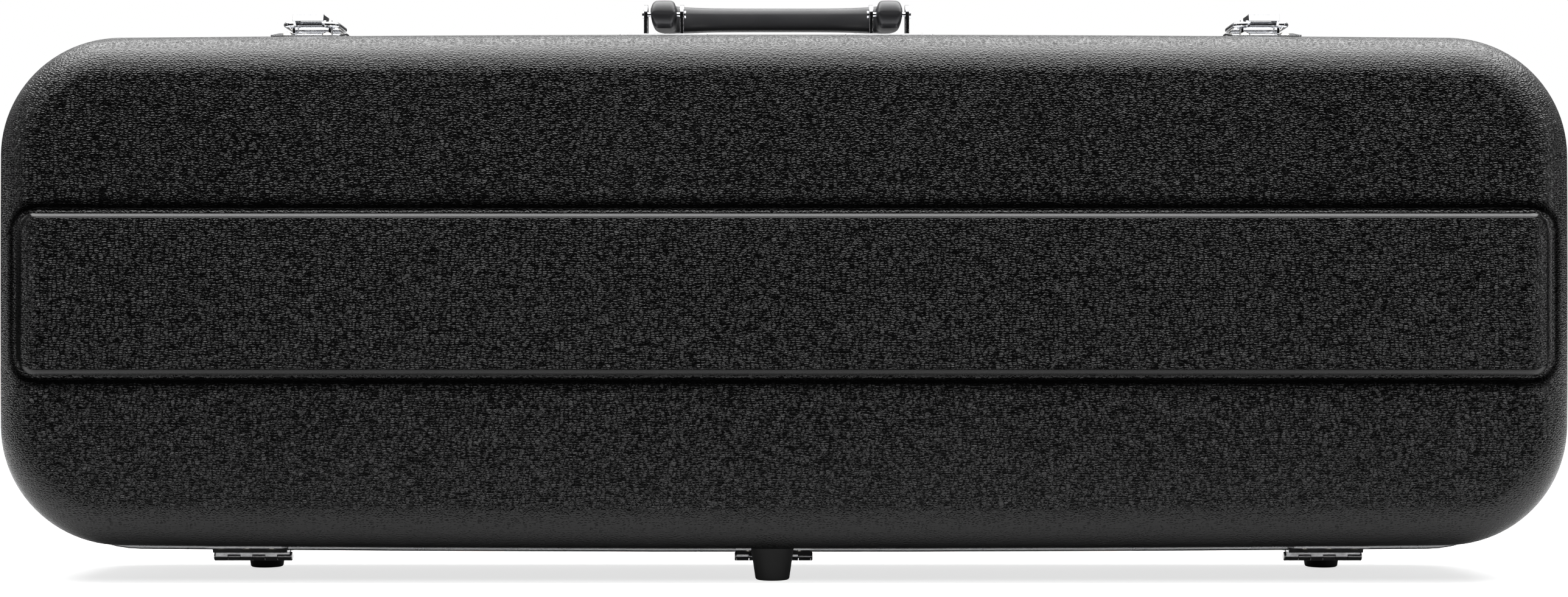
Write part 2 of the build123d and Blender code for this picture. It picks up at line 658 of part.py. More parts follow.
# the shells, now that every fastener's hole is known
for part in SIDES:
    save(f"{part}_shell", cut_all(shells[part], holes[part]))

# =====================================================================
# interior of the base
# =====================================================================
INSERT_TOP_Y = 7.0       # the insert's face towards the seam
CUT_Y = INSERT_TOP_Y - 1         # where cuts into that face start
CAVITY_Y = 55.0          # floor of the violin's cavity
TRAY_Y = 50.0            # floor of the trays
PAD_Y = (45.5, CAVITY_Y - 0.1)
NECK_HALF = 32.0
# one half of the body cavity: x, half width
CAVITY = [
    (-380, 0), (-378, 42), (-361, 87), (-319, 112), (-272, 104), (-238, 80), (-203, 65),
    (-165, 68), (-122, 85), (-85, 91), (-50, 84), (-26, 60), (-18, 30),
]
CAVITY_TIP = (-14, 0)
# x0, x1, z0 and z1 from mid-height, corner radius
TRAYS = [
    (6, 222, 50, 112, 10),
    (6, 222, -112, -50, 10),
    (236, 310, -108, 108, 10),
    (334, 375, -54, 54, 6),
]


def well(x0, x1, z0, z1, radius, floor_y):
    """A round-cornered cut into the insert, z from mid-height."""
    block = box(x0, x1, CUT_Y, floor_y, MID_Z + z0, MID_Z + z1)
    return fillet(block.edges().filter_by(Axis.Y), radius)


def base_insert():
    insert = on_base(half_solid(-WALL - 1.9, INSIDE_DEPTH - 0.6, INSIDE_EDGE_R - 1.0,
                                start=INSERT_TOP_Y))
    loop = CAVITY + [CAVITY_TIP] + [(x, -width) for x, width in reversed(CAVITY[1:])]
    plane = Plane(origin=(0, CUT_Y, MID_Z), x_dir=(1, 0, 0), z_dir=(0, -1, 0))
    face = make_face(Spline(*loop, periodic=True))
    body = extrude(plane * face, amount=CAVITY_Y - CUT_Y, dir=(0, 1, 0))
    neck = box(-40, 200, CUT_Y, CAVITY_Y, *span(MID_Z, NECK_HALF))
    scroll = well(140, 222, -40, 40, 16, CAVITY_Y)
    insert = insert - body - neck - scroll
    insert = cut_all(insert, [well(*tray, TRAY_Y) for tray in TRAYS])
    # recess for the compartment's hinge leaf
    insert = insert - box(374, 388.2, CUT_Y, 9.2, *span(MID_Z, 32))
    return largest(cut_all(insert, [rod_z(*place, 0, 26, 5.0) for place in FOOT_REAR]))


def neck_cradle():
    """A block across the neck channel with a round-bottomed notch."""
    block = soft_block(52, 92, 18, PAD_Y[1], *span(MID_Z, NECK_HALF - 0.3), 2.5)
    notch = rod_x(40, 110, 34.0, MID_Z, 16.0) + box(40, 110, 10, 34.0, *span(MID_Z, 16))
    return block - notch


save("base_insert", base_insert())
save("violin_pad_lower", soft_block(-352, -268, *PAD_Y, *span(MID_Z, 62), 3.0))
save("violin_pad_upper", soft_block(-118, -62, *PAD_Y, *span(MID_Z, 50), 3.0))
save("neck_cradle", neck_cradle())
save("neck_strap", box(58, 84, INSERT_TOP_Y - 1.6, INSERT_TOP_Y - 0.1, *span(MID_Z, 46)))

# ---- rosin compartment: its lid, hinge and pull tab
LIDLET_X = (331.5, 378.0)
LIDLET_HALF_Z = 58.0
LIDLET_HINGE = (380.6, 5.2)      # x, y of the pin
LIDLET_KNUCKLE_R, LIDLET_PIN_R = 1.5, 0.75
LIDLET_LEAF_HALF = 30            # half length of the hinge leaf
LIDLET_SPLIT = 10                # half length of the lid's own knuckle space


def lidlet_bore():
    return rod_z(*LIDLET_HINGE, *span(MID_Z, 40), LIDLET_PIN_R + RUN)


def compartment_lid():
    pin_x, pin_y = LIDLET_HINGE
    z0, z1 = span(MID_Z, LIDLET_SPLIT - 0.1)
    lid = soft_block(*LIDLET_X, INSERT_TOP_Y - 3.3, INSERT_TOP_Y - 0.1,
                     *span(MID_Z, LIDLET_HALF_Z), 0.8)
    knuckle = (rod_z(pin_x, pin_y, z0, z1, LIDLET_KNUCKLE_R)
               + box(LIDLET_X[1] - 1.5, pin_x, *span(pin_y, 0.6), z0, z1))
    lid = lid + knuckle - lidlet_bore()
    # room for the leaf's knuckles
    reach = LIDLET_LEAF_HALF + 0.5
    lid = lid - (rod_z(pin_x, pin_y, MID_Z - reach, MID_Z - LIDLET_SPLIT, 1.7)
                 + rod_z(pin_x, pin_y, MID_Z + LIDLET_SPLIT, MID_Z + reach, 1.7))
    return largest(lid)


def compartment_hinge_leaf():
    pin_x, pin_y = LIDLET_HINGE
    z_low, z_high = span(MID_Z, LIDLET_LEAF_HALF)
    leaf = box(pin_x - 0.9, pin_x + 7.0, INSERT_TOP_Y + 0.9, INSERT_TOP_Y + 2.1, z_low, z_high)
    for z0, z1 in ((z_low, MID_Z - LIDLET_SPLIT), (MID_Z + LIDLET_SPLIT, z_high)):
        leaf = leaf + rod_z(pin_x, pin_y, z0, z1, LIDLET_KNUCKLE_R)
        leaf = leaf + box(pin_x - 0.6, pin_x + 1.5, pin_y, INSERT_TOP_Y + 1.2, z0, z1)
    return largest(leaf - lidlet_bore())


def compartment_pull_tab():
    tab = box(LIDLET_X[0] - 6, LIDLET_X[0] + 8, INSERT_TOP_Y - 4.6, INSERT_TOP_Y - 3.4,
              *span(MID_Z, 8))
    return fillet(tab.edges().filter_by(Axis.Y), 3.0)


save("compartment_lid", compartment_lid())
save("compartment_hinge_leaf", compartment_hinge_leaf())
save("compartment_pin",
     rod_z(*LIDLET_HINGE, *span(MID_Z, LIDLET_LEAF_HALF + 0.3), LIDLET_PIN_R))
save("compartment_pull_tab", compartment_pull_tab())

# =====================================================================
# interior of the lid
# =====================================================================
PAD_BACK_Y = -(INSIDE_DEPTH - 1.1)       # against the lid's face
PAD_FRONT_Y = -(INSIDE_DEPTH - 5.6)      # towards the seam
BOWS = {"lower": 86.0, "upper": 210.0}   # name: z of the bow
BOW_X = 262.0                            # holders
HOLDER_FRONT_Y = -41.0
CLIP_Y = (-40.9, -37.4)
BOW_SCREW_DZ = 8.5                       # screw above the bow's z
BOW_SCREW_R = 1.5


def lid_lining():
    """A thin lining with openings round the fasteners' tails."""
    outer = half_solid(-WALL - 0.15, INSIDE_DEPTH - 0.15, INSIDE_EDGE_R - 0.1, start=5.0)
    inner = half_solid(-WALL - 1.0, INSIDE_DEPTH - 1.0, INSIDE_EDGE_R - 0.9)
    lining = outer - inner
    for rivet in hinge_rivets["lid"] + latch_rivets["lid"]:
        bounds = rivet.bounding_box()
        low, high = bounds.min, bounds.max
        lining = lining - rod_z((low.X + high.X) / 2, (low.Y + high.Y) / 2,
                                low.Z - 1, high.Z + 1, 3.6)
    return largest(lining - rod_z(*FOOT_FRONT, 0, 40, 4.9))


def lid_pad():
    """A flat pad, cut out round the bow holders."""
    pad = box(-368, 368, PAD_BACK_Y, PAD_FRONT_Y, *span(MID_Z, 102))
    pad = fillet(pad.edges().filter_by(Axis.Y), 40)
    pad = fillet(pad.faces().sort_by(Axis.Y)[-1].edges(), 2.0)
    for bow_z in BOWS.values():
        pad = pad - box(*span(BOW_X, 9.4), PAD_BACK_Y - 1, PAD_FRONT_Y + 1,
                        bow_z - 9.4, bow_z + 13.4)
    return largest(pad)


def bow_holder(bow_z):
    """A cradle for the stick, with a hole for the clip's screw."""
    holder = box(*span(BOW_X, 9), PAD_BACK_Y + 0.3, HOLDER_FRONT_Y, bow_z - 9, bow_z + 13)
    holder = fillet(holder.edges().filter_by(Axis.Y), 3.0)
    groove = rod_x(*span(BOW_X, 20), HOLDER_FRONT_Y, bow_z - 1.0, 5.2)
    return holder - groove - rod_y(BOW_X, -60, -30, bow_z + BOW_SCREW_DZ, 1.55)


def bow_clip(bow_z):
    """The turning clip that closes the cradle."""
    clip = box(*span(BOW_X, 5.5), *CLIP_Y, bow_z - 10.0, bow_z + 13.0)
    clip = fillet(clip.edges().filter_by(Axis.Y), 5.0)
    clip = fillet(clip.faces().sort_by(Axis.Y)[-1].edges(), 0.8)
    return clip - rod_y(BOW_X, -60, -30, bow_z + BOW_SCREW_DZ, BOW_SCREW_R + RUN)


def bow_screw(bow_z):
    z = bow_z + BOW_SCREW_DZ
    screw = rod_y(BOW_X, -55.5, -37.3, z, BOW_SCREW_R) + rod_y(BOW_X, -37.35, -36.0, z, 3.0)
    return screw - box(*span(BOW_X, 2.4), -36.6, -35.5, *span(z, 0.4))


def bow_tip_pocket(bow_z):
    """A pocket on the pad, open towards +X."""
    pocket = box(-366, -322, PAD_FRONT_Y + 0.15, PAD_FRONT_Y + 16, bow_z - 15, bow_z + 13)
    pocket = fillet(pocket.edges().filter_by(Axis.X), 5.0)
    return pocket - box(-363, -300, PAD_FRONT_Y + 2.0, PAD_FRONT_Y + 14, bow_z - 11, bow_z + 9)


save("lid_lining", lid_lining())
save("lid_pad", lid_pad())
for name, bow_z in BOWS.items():
    save(f"bow_holder_{name}", bow_holder(bow_z))
    save(f"bow_clip_{name}", bow_clip(bow_z))
    save(f"bow_screw_{name}", bow_screw(bow_z))
save("bow_tip_pockets", [bow_tip_pocket(bow_z) for bow_z in BOWS.values()])
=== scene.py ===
import json
import math

import bmesh
import bpy
import numpy as np
from mathutils import Matrix, Vector, noise

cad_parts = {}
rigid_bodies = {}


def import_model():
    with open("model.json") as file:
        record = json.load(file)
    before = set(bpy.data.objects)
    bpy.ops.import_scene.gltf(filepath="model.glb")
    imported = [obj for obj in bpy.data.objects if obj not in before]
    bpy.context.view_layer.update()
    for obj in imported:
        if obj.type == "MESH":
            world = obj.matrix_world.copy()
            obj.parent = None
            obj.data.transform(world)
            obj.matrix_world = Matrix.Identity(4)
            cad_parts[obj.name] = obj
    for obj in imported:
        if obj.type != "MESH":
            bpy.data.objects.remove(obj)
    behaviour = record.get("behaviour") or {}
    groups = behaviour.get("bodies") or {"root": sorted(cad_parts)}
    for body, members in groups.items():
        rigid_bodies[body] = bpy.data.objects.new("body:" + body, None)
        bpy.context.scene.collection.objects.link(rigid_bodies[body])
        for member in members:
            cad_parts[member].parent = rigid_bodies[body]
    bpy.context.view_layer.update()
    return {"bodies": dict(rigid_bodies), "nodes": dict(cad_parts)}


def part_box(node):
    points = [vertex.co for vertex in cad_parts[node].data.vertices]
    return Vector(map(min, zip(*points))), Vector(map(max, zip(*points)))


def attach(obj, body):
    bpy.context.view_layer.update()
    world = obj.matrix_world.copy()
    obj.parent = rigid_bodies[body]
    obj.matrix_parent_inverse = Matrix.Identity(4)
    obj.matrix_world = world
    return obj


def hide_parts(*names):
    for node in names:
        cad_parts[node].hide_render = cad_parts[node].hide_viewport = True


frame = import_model()
N = frame["nodes"]
MM = 0.001
scene = bpy.context.scene
col = scene.collection

# ------------------------------------------------------------------ dimensions read from the frame
lo_r, hi_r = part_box("lid_rail")
RAIL_PROUD = 2.0
MID_Z = (lo_r.z + hi_r.z) / 2 / MM
HALF_LEN = (hi_r.x - lo_r.x) / 2 / MM - RAIL_PROUD
HALF_HT = (hi_r.z - lo_r.z) / 2 / MM - RAIL_PROUD
BOW_LONG, BOW_SHORT, CORNER_R, DRAFT = 2.25, 0.7, 64.0, 4.0
PANEL_RISE, PANEL_HALF_Z, PANEL_HALF_X, PANEL_DROP = 2.3, 40.9, 386.5, 1.7
DEPTH = -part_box("lid_shell")[0].y / MM - PANEL_RISE


# ================================================================== materials
def new_mat(name):
    m = bpy.data.materials.new(name)
    m.use_nodes = True
    nt = m.node_tree
    nt.nodes.clear()
    out = nt.nodes.new("ShaderNodeOutputMaterial")
    b = nt.nodes.new("ShaderNodeBsdfPrincipled")
    nt.links.new(b.outputs[0], out.inputs[0])
    return m, nt, b


def nd(nt, kind, ins=None, **props):
    n = nt.nodes.new(kind)
    for k, v in props.items():
        setattr(n, k, v)
    for k, v in (ins or {}).items():
        if isinstance(v, bpy.types.NodeSocket):
            nt.links.new(v, n.inputs[k])
        else:
            n.inputs[k].default_value = v
    return n


def coords(nt, scale=(1, 1, 1)):
    tc = nd(nt, "ShaderNodeTexCoord")
    mp = nd(nt, "ShaderNodeMapping", {"Vector": tc.outputs["Object"], "Scale": scale})
    return mp.outputs[0]


def ramp(nt, fac, stops):
    r = nd(nt, "ShaderNodeValToRGB", {"Fac": fac})
    while len(r.color_ramp.elements) < len(stops):
        r.color_ramp.elements.new(0.5)
    for e, (p, c) in zip(r.color_ramp.elements, stops):
        e.position = p
        e.color = c if len(c) == 4 else (*c, 1)
    return r.outputs[0]


def grey(v):
    return (v, v, v, 1)


def math_n(nt, op, a, b=None, c=None, clamp=False):
    n = nt.nodes.new("ShaderNodeMath")
    n.operation = op
    n.use_clamp = clamp
    for i, v in enumerate((a, b, c)):
        if v is None:
            continue
        if isinstance(v, bpy.types.NodeSocket):
            nt.links.new(v, n.inputs[i])
        else:
            n.inputs[i].default_value = v
    return n.outputs[0]


def mix_col(nt, fac, a, b, mode="MIX"):
    n = nt.nodes.new("ShaderNodeMix")
    n.data_type = "RGBA"
    n.blend_type = mode
    for sock, v in ((n.inputs[0], fac), (n.inputs[6], a), (n.inputs[7], b)):
        if isinstance(v, bpy.types.NodeSocket):
            nt.links.new(v, sock)
        else:
            sock.default_value = v
    return n.outputs[2]


def abs_grain():
    """Black ABS with a pebbled leather grain."""
    m, nt, b = new_mat("abs_grain")
    v = coords(nt)
    warp = nd(nt, "ShaderNodeTexNoise", {"Vector": v, "Scale": 330.0, "Detail": 0.0})
    off = nd(nt, "ShaderNodeVectorMath", {0: warp.outputs["Color"], 1: (0.5, 0.5, 0.5)}, operation="SUBTRACT")
    sc = nd(nt, "ShaderNodeVectorMath", {0: off.outputs[0]}, operation="SCALE")
    sc.inputs["Scale"].default_value = 0.0007
    vv = nd(nt, "ShaderNodeVectorMath", {0: v, 1: sc.outputs[0]}, operation="ADD")
    st = nd(nt, "ShaderNodeMapping", {"Vector": vv.outputs[0], "Scale": (0.6, 1.0, 1.1)})
    edge = nd(nt, "ShaderNodeTexVoronoi", {"Vector": st.outputs[0], "Scale": 800.0, "Randomness": 0.85},
              feature="DISTANCE_TO_EDGE")
    cell = nd(nt, "ShaderNodeTexVoronoi", {"Vector": st.outputs[0], "Scale": 800.0, "Randomness": 0.85}, feature="F1")
    fine = nd(nt, "ShaderNodeTexNoise", {"Vector": v, "Scale": 2600.0, "Detail": 3.0, "Roughness": 0.6})
    broad = nd(nt, "ShaderNodeTexNoise", {"Vector": v, "Scale": 9.0, "Detail": 3.0})
    peb = nd(nt, "ShaderNodeMapRange", {"Value": edge.outputs[0], 1: 0.0, 2: 0.32, 3: 0.0, 4: 1.0},
             interpolation_type="SMOOTHSTEP")
    tone = nd(nt, "ShaderNodeSeparateColor", {0: cell.outputs["Color"]})
    h1 = math_n(nt, "MULTIPLY", peb.outputs[0], math_n(nt, "MULTIPLY_ADD", tone.outputs[0], 0.22, 0.78))
    h = math_n(nt, "MULTIPLY_ADD", fine.outputs[0], 0.2, h1)
    roll = nd(nt, "ShaderNodeAttribute", attribute_name="rolled").outputs["Fac"]
    # foot_shade is painted shade: at the panel's foot it darkens the colour, lowers the specular and weakens the bump,
    # standing in for occlusion
    shade = nd(nt, "ShaderNodeAttribute", attribute_name="foot_shade").outputs["Fac"]
    amount = math_n(nt, "SUBTRACT", 1.0, math_n(nt, "MULTIPLY", roll, 0.93), clamp=True)
    amount = math_n(nt, "MULTIPLY", amount, math_n(nt, "SUBTRACT", 1.0, math_n(nt, "MULTIPLY", shade, 0.45)))
    bump = nd(nt, "ShaderNodeBump", {"Height": h, "Strength": amount, "Distance": 0.00018})
    # painted shade: the colour follows the grain's height, darkest in the grooves between pebbles and lightest on their
    # tops; the per-cell tone varies at random
    base = ramp(nt, h1, [(0.0, (0.0004, 0.0004, 0.0004)), (0.6, (0.0016, 0.0016, 0.0018)), (1.0, (0.0034, 0.0034, 0.0038))])
    worn = mix_col(nt, math_n(nt, "MULTIPLY", broad.outputs[0], 0.35), base, (0.0024, 0.0024, 0.0026, 1))
    dark = mix_col(nt, math_n(nt, "MULTIPLY", shade, 0.8, clamp=True), worn, (0.0008, 0.0008, 0.0008, 1))
    nt.links.new(dark, b.inputs["Base Color"])
    nt.links.new(math_n(nt, "SUBTRACT", 0.55, math_n(nt, "MULTIPLY", shade, 0.5)), b.inputs["Specular IOR Level"])
    rough = nd(nt, "ShaderNodeMapRange", {"Value": h1, 1: 0.0, 2: 1.1, 3: 0.25, 4: 0.14})
    r2 = math_n(nt, "MULTIPLY_ADD", broad.outputs[0], 0.08, math_n(nt, "SUBTRACT", rough.outputs[0], 0.04))
    nt.links.new(r2, b.inputs["Roughness"])
    b.inputs["IOR"].default_value = 1.5
    nt.links.new(bump.outputs[0], b.inputs["Normal"])
    return m


def metal(name, color, rough, grain=0.0, brushed=None, bevel=0.0, spots=0.06, bump_dist=0.00002):
    m, nt, b = new_mat(name)
    v = coords(nt)
    b.inputs["Metallic"].default_value = 1.0
    n1 = nd(nt, "ShaderNodeTexNoise", {"Vector": v, "Scale": 180.0, "Detail": 4.0, "Roughness": 0.6})
    if brushed:
        vb = coords(nt, brushed)
        nb = nd(nt, "ShaderNodeTexNoise", {"Vector": vb, "Scale": 1.0, "Detail": 3.0, "Roughness": 0.6})
        hsrc = nb.outputs[0]
    else:
        hsrc = nd(nt, "ShaderNodeTexNoise", {"Vector": v, "Scale": 900.0, "Detail": 3.0}).outputs[0]
    c = mix_col(nt, n1.outputs[0], (*[x * 0.93 for x in color], 1), (*color, 1))
    nt.links.new(c, b.inputs["Base Color"])
    r = nd(nt, "ShaderNodeMapRange", {"Value": n1.outputs[0], 1: 0.3, 2: 0.75, 3: rough - spots / 2, 4: rough + spots})
    nt.links.new(r.outputs[0], b.inputs["Roughness"])
    bump = nd(nt, "ShaderNodeBump", {"Height": hsrc, "Strength": grain, "Distance": bump_dist})
    if bevel:
        bv = nd(nt, "ShaderNodeBevel", {"Radius": bevel}, samples=6)
        nt.links.new(bv.outputs[0], bump.inputs["Normal"])
    nt.links.new(bump.outputs[0], b.inputs["Normal"])
    return m


def plastic(name, color, rough, scale=1500.0, dist=0.00004, bevel=0.0, tex="NOISE", coat=0.0):
    m, nt, b = new_mat(name)
    v = coords(nt)
    broad = nd(nt, "ShaderNodeTexNoise", {"Vector": v, "Scale": 40.0, "Detail": 4.0})
    fine = nd(nt, "ShaderNodeTexNoise", {"Vector": v, "Scale": scale, "Detail": 3.0, "Roughness": 0.6})
    c = mix_col(nt, broad.outputs[0], (*[x * 0.8 for x in color], 1), (*[x * 1.2 for x in color], 1))
    nt.links.new(c, b.inputs["Base Color"])
    r = nd(nt, "ShaderNodeMapRange", {"Value": broad.outputs[0], 1: 0.3, 2: 0.7, 3: rough - 0.05, 4: rough + 0.06})
    nt.links.new(r.outputs[0], b.inputs["Roughness"])
    b.inputs["Coat Weight"].default_value = coat
    bump = nd(nt, "ShaderNodeBump", {"Height": fine.outputs[0], "Strength": 0.7, "Distance": dist})
    if bevel:
        bv = nd(nt, "ShaderNodeBevel", {"Radius": bevel}, samples=6)
        nt.links.new(bv.outputs[0], bump.inputs["Normal"])
    nt.links.new(bump.outputs[0], b.inputs["Normal"])
    return m


def plush(name, dark, light, sheen=(1.0, 0.75, 0.8)):
    """Short velvet pile; its colour is lighter and darker in patches, painted sheen standing in for pile lying
    differently.
    """
    m, nt, b = new_mat(name)
    v = coords(nt)
    patch = nd(nt, "ShaderNodeTexNoise", {"Vector": v, "Scale": 16.0, "Detail": 3.0, "Distortion": 1.4})
    fine = nd(nt, "ShaderNodeTexNoise", {"Vector": v, "Scale": 1500.0, "Detail": 2.0})
    tuft = nd(nt, "ShaderNodeTexVoronoi", {"Vector": v, "Scale": 1300.0}, feature="F1")
    mid = nd(nt, "ShaderNodeTexNoise", {"Vector": v, "Scale": 140.0, "Detail": 4.0})
    f = math_n(nt, "ADD", math_n(nt, "MULTIPLY", patch.outputs[0], 0.75), math_n(nt, "MULTIPLY", fine.outputs[0], 0.35))
    # painted sheen: the colour ramps from dark to light across the patches
    c = ramp(nt, f, [(0.3, dark), (0.5, tuple((a + b2) / 2 for a, b2 in zip(dark, light))), (0.74, light)])
    nt.links.new(c, b.inputs["Base Color"])
    b.inputs["Roughness"].default_value = 0.95
    b.inputs["Specular IOR Level"].default_value = 0.1
    b.inputs["Sheen Weight"].default_value = 0.8
    b.inputs["Sheen Roughness"].default_value = 0.35
    b.inputs["Sheen Tint"].default_value = (*sheen, 1)
    h = math_n(nt, "ADD", math_n(nt, "MULTIPLY", tuft.outputs[0], 0.6), math_n(nt, "MULTIPLY", mid.outputs[0], 1.6))
    bump = nd(nt, "ShaderNodeBump", {"Height": h, "Strength": 0.8, "Distance": 0.00045})
    nt.links.new(bump.outputs[0], b.inputs["Normal"])
    return m


def webbing(name, color, axis="X"):
    """Narrow woven tape."""
    m, nt, b = new_mat(name)
    v = coords(nt)
    w1 = nd(nt, "ShaderNodeTexWave", {"Vector": v, "Scale": 420.0, "Distortion": 0.5, "Detail": 1.0}, bands_direction="Z")
    w2 = nd(nt, "ShaderNodeTexWave", {"Vector": v, "Scale": 420.0, "Distortion": 0.5, "Detail": 1.0}, bands_direction="X")
    h = math_n(nt, "MULTIPLY", w1.outputs[1], w2.outputs[1])
    # painted shade and highlight: the colour follows the weave's height, darker in its hollows and lighter on the
    # raised threads
    c = mix_col(nt, h, (*[x * 0.5 for x in color], 1), (*[x * 1.3 for x in color], 1))
    nt.links.new(c, b.inputs["Base Color"])
    b.inputs["Roughness"].default_value = 0.8
    b.inputs["Sheen Weight"].default_value = 0.3
    bump = nd(nt, "ShaderNodeBump", {"Height": h, "Strength": 0.8, "Distance": 0.0003})
    nt.links.new(bump.outputs[0], b.inputs["Normal"])
    return m


M = {
    "abs": abs_grain(),
    "rail": metal("rail_aluminium", (0.46, 0.465, 0.475), 0.24, grain=0.12, brushed=(6, 700, 700), bevel=0.0003),
    "chrome": metal("chrome", (0.56, 0.565, 0.58), 0.09, grain=0.25, bevel=0.00035, spots=0.05),
    "chrome_round": metal("chrome_round", (0.6, 0.6, 0.62), 0.08, grain=0.25, bevel=0.0009, spots=0.05),
    "nickel": metal("hinge_nickel", (0.5, 0.5, 0.51), 0.17, grain=0.4, bevel=0.0003, spots=0.1),
    "rivet": metal("rivet_nickel", (0.66, 0.63, 0.57), 0.2, grain=0.3, bevel=0.0003, spots=0.08),
    "steel": metal("screw_steel", (0.5, 0.5, 0.52), 0.28, grain=0.6, bevel=0.0002),
    "brass": metal("brass", (0.78, 0.58, 0.28), 0.22, grain=0.4, bevel=0.0002),
    "rubber": plastic("foot_rubber", (0.018, 0.018, 0.018), 0.72, scale=2200, dist=0.00006, bevel=0.0004),
    "handle": plastic("handle_moulding", (0.026, 0.026, 0.028), 0.42, scale=1900, dist=0.00005),
    "packing": plastic("packing", (0.014, 0.014, 0.014), 0.6, bevel=0.0003),
    "clip": plastic("clip_plastic", (0.013, 0.013, 0.014), 0.25, dist=0.00001, bevel=0.0004, coat=0.3),
    "plush": plush("plush", (0.045, 0.003, 0.009), (0.19, 0.013, 0.034)),
    "plush_lid": plush("plush_lid", (0.04, 0.003, 0.008), (0.165, 0.011, 0.03)),
    "strap": webbing("webbing", (0.02, 0.02, 0.022)),
}


def assign(node, mat):
    o = N[node]
    o.data.materials.clear()
    o.data.materials.append(mat)


def mesh_obj(name, verts, faces, mat, smooth=True):
    me = bpy.data.meshes.new(name)
    me.from_pydata([tuple(v) for v in verts], [], [tuple(f) for f in faces])
    me.validate(verbose=False)
    me.materials.append(mat)
    o = bpy.data.objects.new(name, me)
    col.objects.link(o)
    if smooth:
        me.polygons.foreach_set("use_smooth", [True] * len(me.polygons))
    me.update()
    return o


# ================================================================== the two shells
def smin(a, b, k):
    h = np.clip((k - np.abs(a - b)) / k, 0, None)
    return np.minimum(a, b) - h * h * k / 4


def smax(a, b, k):
    return -smin(-a, -b, k)


def circle_through(cx, half, bulge):
    """Radius of the arc through (-half, 0), (0, bulge), (half, 0)."""
    return (half * half + bulge * bulge) / (2 * bulge)


def seam_outline():
    """Points and outward normals of the shell's outline at the seam, as four runs: bottom, right, top, left, each from one 45-degree corner point to the next.
    The right and left runs share their z levels."""
    a, b, r = HALF_LEN, HALF_HT, CORNER_R
    ca, cb = a - BOW_SHORT, b - BOW_LONG
    rl = circle_through(0, ca, BOW_LONG)     # long side
    rs = circle_through(0, cb, BOW_SHORT)    # short side
    # corner circle tangent inside both arcs, top right quadrant
    cl = np.array([0.0, b - rl])
    cs = np.array([a - rs, 0.0])
    x, z = a - r, b - r
    for _ in range(60):
        # centre of the corner: rl - r from cl and rs - r from cs
        f = np.array([math.hypot(x - cl[0], z - cl[1]) - (rl - r), math.hypot(x - cs[0], z - cs[1]) - (rs - r)])
        j = np.array([[(x - cl[0]) / (rl - r), (z - cl[1]) / (rl - r)], [(x - cs[0]) / (rs - r), (z - cs[1]) / (rs - r)]])
        d = np.linalg.solve(j, -f)
        x, z = x + d[0], z + d[1]
    c = np.array([x, z])
    tl = c + (c - cl) / np.linalg.norm(c - cl) * r   # tangent point on the long side
    ts = c + (c - cs) / np.linalg.norm(c - cs) * r   # tangent point on the short side
    a_l = math.atan2(tl[1] - c[1], tl[0] - c[0])
    a_s = math.atan2(ts[1] - c[1], ts[0] - c[0])
    nc = 12
    top = []
    for i in range(nc):                              # 45 degrees to the long side
        t = math.pi / 4 + (a_l - math.pi / 4) * i / nc
        top.append((c[0] + r * math.cos(t), c[1] + r * math.sin(t), math.cos(t), math.sin(t)))
    n_long = 150
    for i in range(n_long + 1):
        xx = tl[0] * (1 - 2 * i / n_long)
        zz = cl[1] + math.sqrt(rl * rl - xx * xx)
        top.append((xx, zz, xx / rl, (zz - cl[1]) / rl))
    top += [(-p[0], p[1], -p[2], p[3]) for p in reversed(top[:nc])]
    # right side, z levels with fine rows at the panel's steps
    lim = ts[1]
    zc = -PANEL_DROP
    levels = [-lim]

    def fill(z1, step):
        n = max(1, int(round((z1 - levels[-1]) / step)))
        s = levels[-1]
        for k in range(1, n + 1):
            levels.append(s + (z1 - s) * k / n)

    fill(zc - PANEL_HALF_Z - 3.0, 4.0)
    fill(zc - PANEL_HALF_Z + 4.5, 0.2)
    fill(zc + PANEL_HALF_Z - 4.5, 4.0)
    fill(zc + PANEL_HALF_Z + 3.0, 0.2)
    fill(lim, 4.0)
    right = []
    for i in range(nc):                              # from the lower 45 degrees up to the short side
        t = -math.pi / 4 + (-a_s + math.pi / 4) * i / nc
        right.append((c[0] + r * math.cos(t), -c[1] + r * math.sin(t), math.cos(t), math.sin(t)))
    for zz in levels:
        xx = cs[0] + math.sqrt(rs * rs - zz * zz)
        right.append((xx, zz, (xx - cs[0]) / rs, zz / rs))
    for i in range(nc - 1, -1, -1):
        t = math.pi / 4 + (a_s - math.pi / 4) * i / nc
        right.append((c[0] + r * math.cos(t), c[1] + r * math.sin(t), math.cos(t), math.sin(t)))
    top = np.array(top)                              # from the right corner to the left one
    right = np.array(right)                          # from the lower corner to the upper one
    bottom = top[::-1] * [1, -1, 1, -1]              # left corner to right corner
    left = right[::-1] * [-1, 1, -1, 1]              # upper corner to lower corner
    return bottom, right, top, left


RUNS = seam_outline()


def panel_step(q):
    """Height of the raised panel at distance q inside its foot: a concave foot, a fine groove, then a rolled edge."""
    foot = 0.5 * np.clip((q + 1.3) / 1.3, 0, 1) ** 2
    t = np.clip((q - 0.45) / 3.1, 0, 1)
    roll = 0.62 + (PANEL_RISE - 0.62) * (1 - (1 - t) ** 1.9)
    h = np.where(q < 0.45, foot, roll)
    groove = 0.42 * np.exp(-((q - 0.28) / 0.2) ** 2)
    return np.where(q < -1.3, 0.0, np.where(q < 0.45, np.minimum(foot, 0.62) - groove, roll - groove))


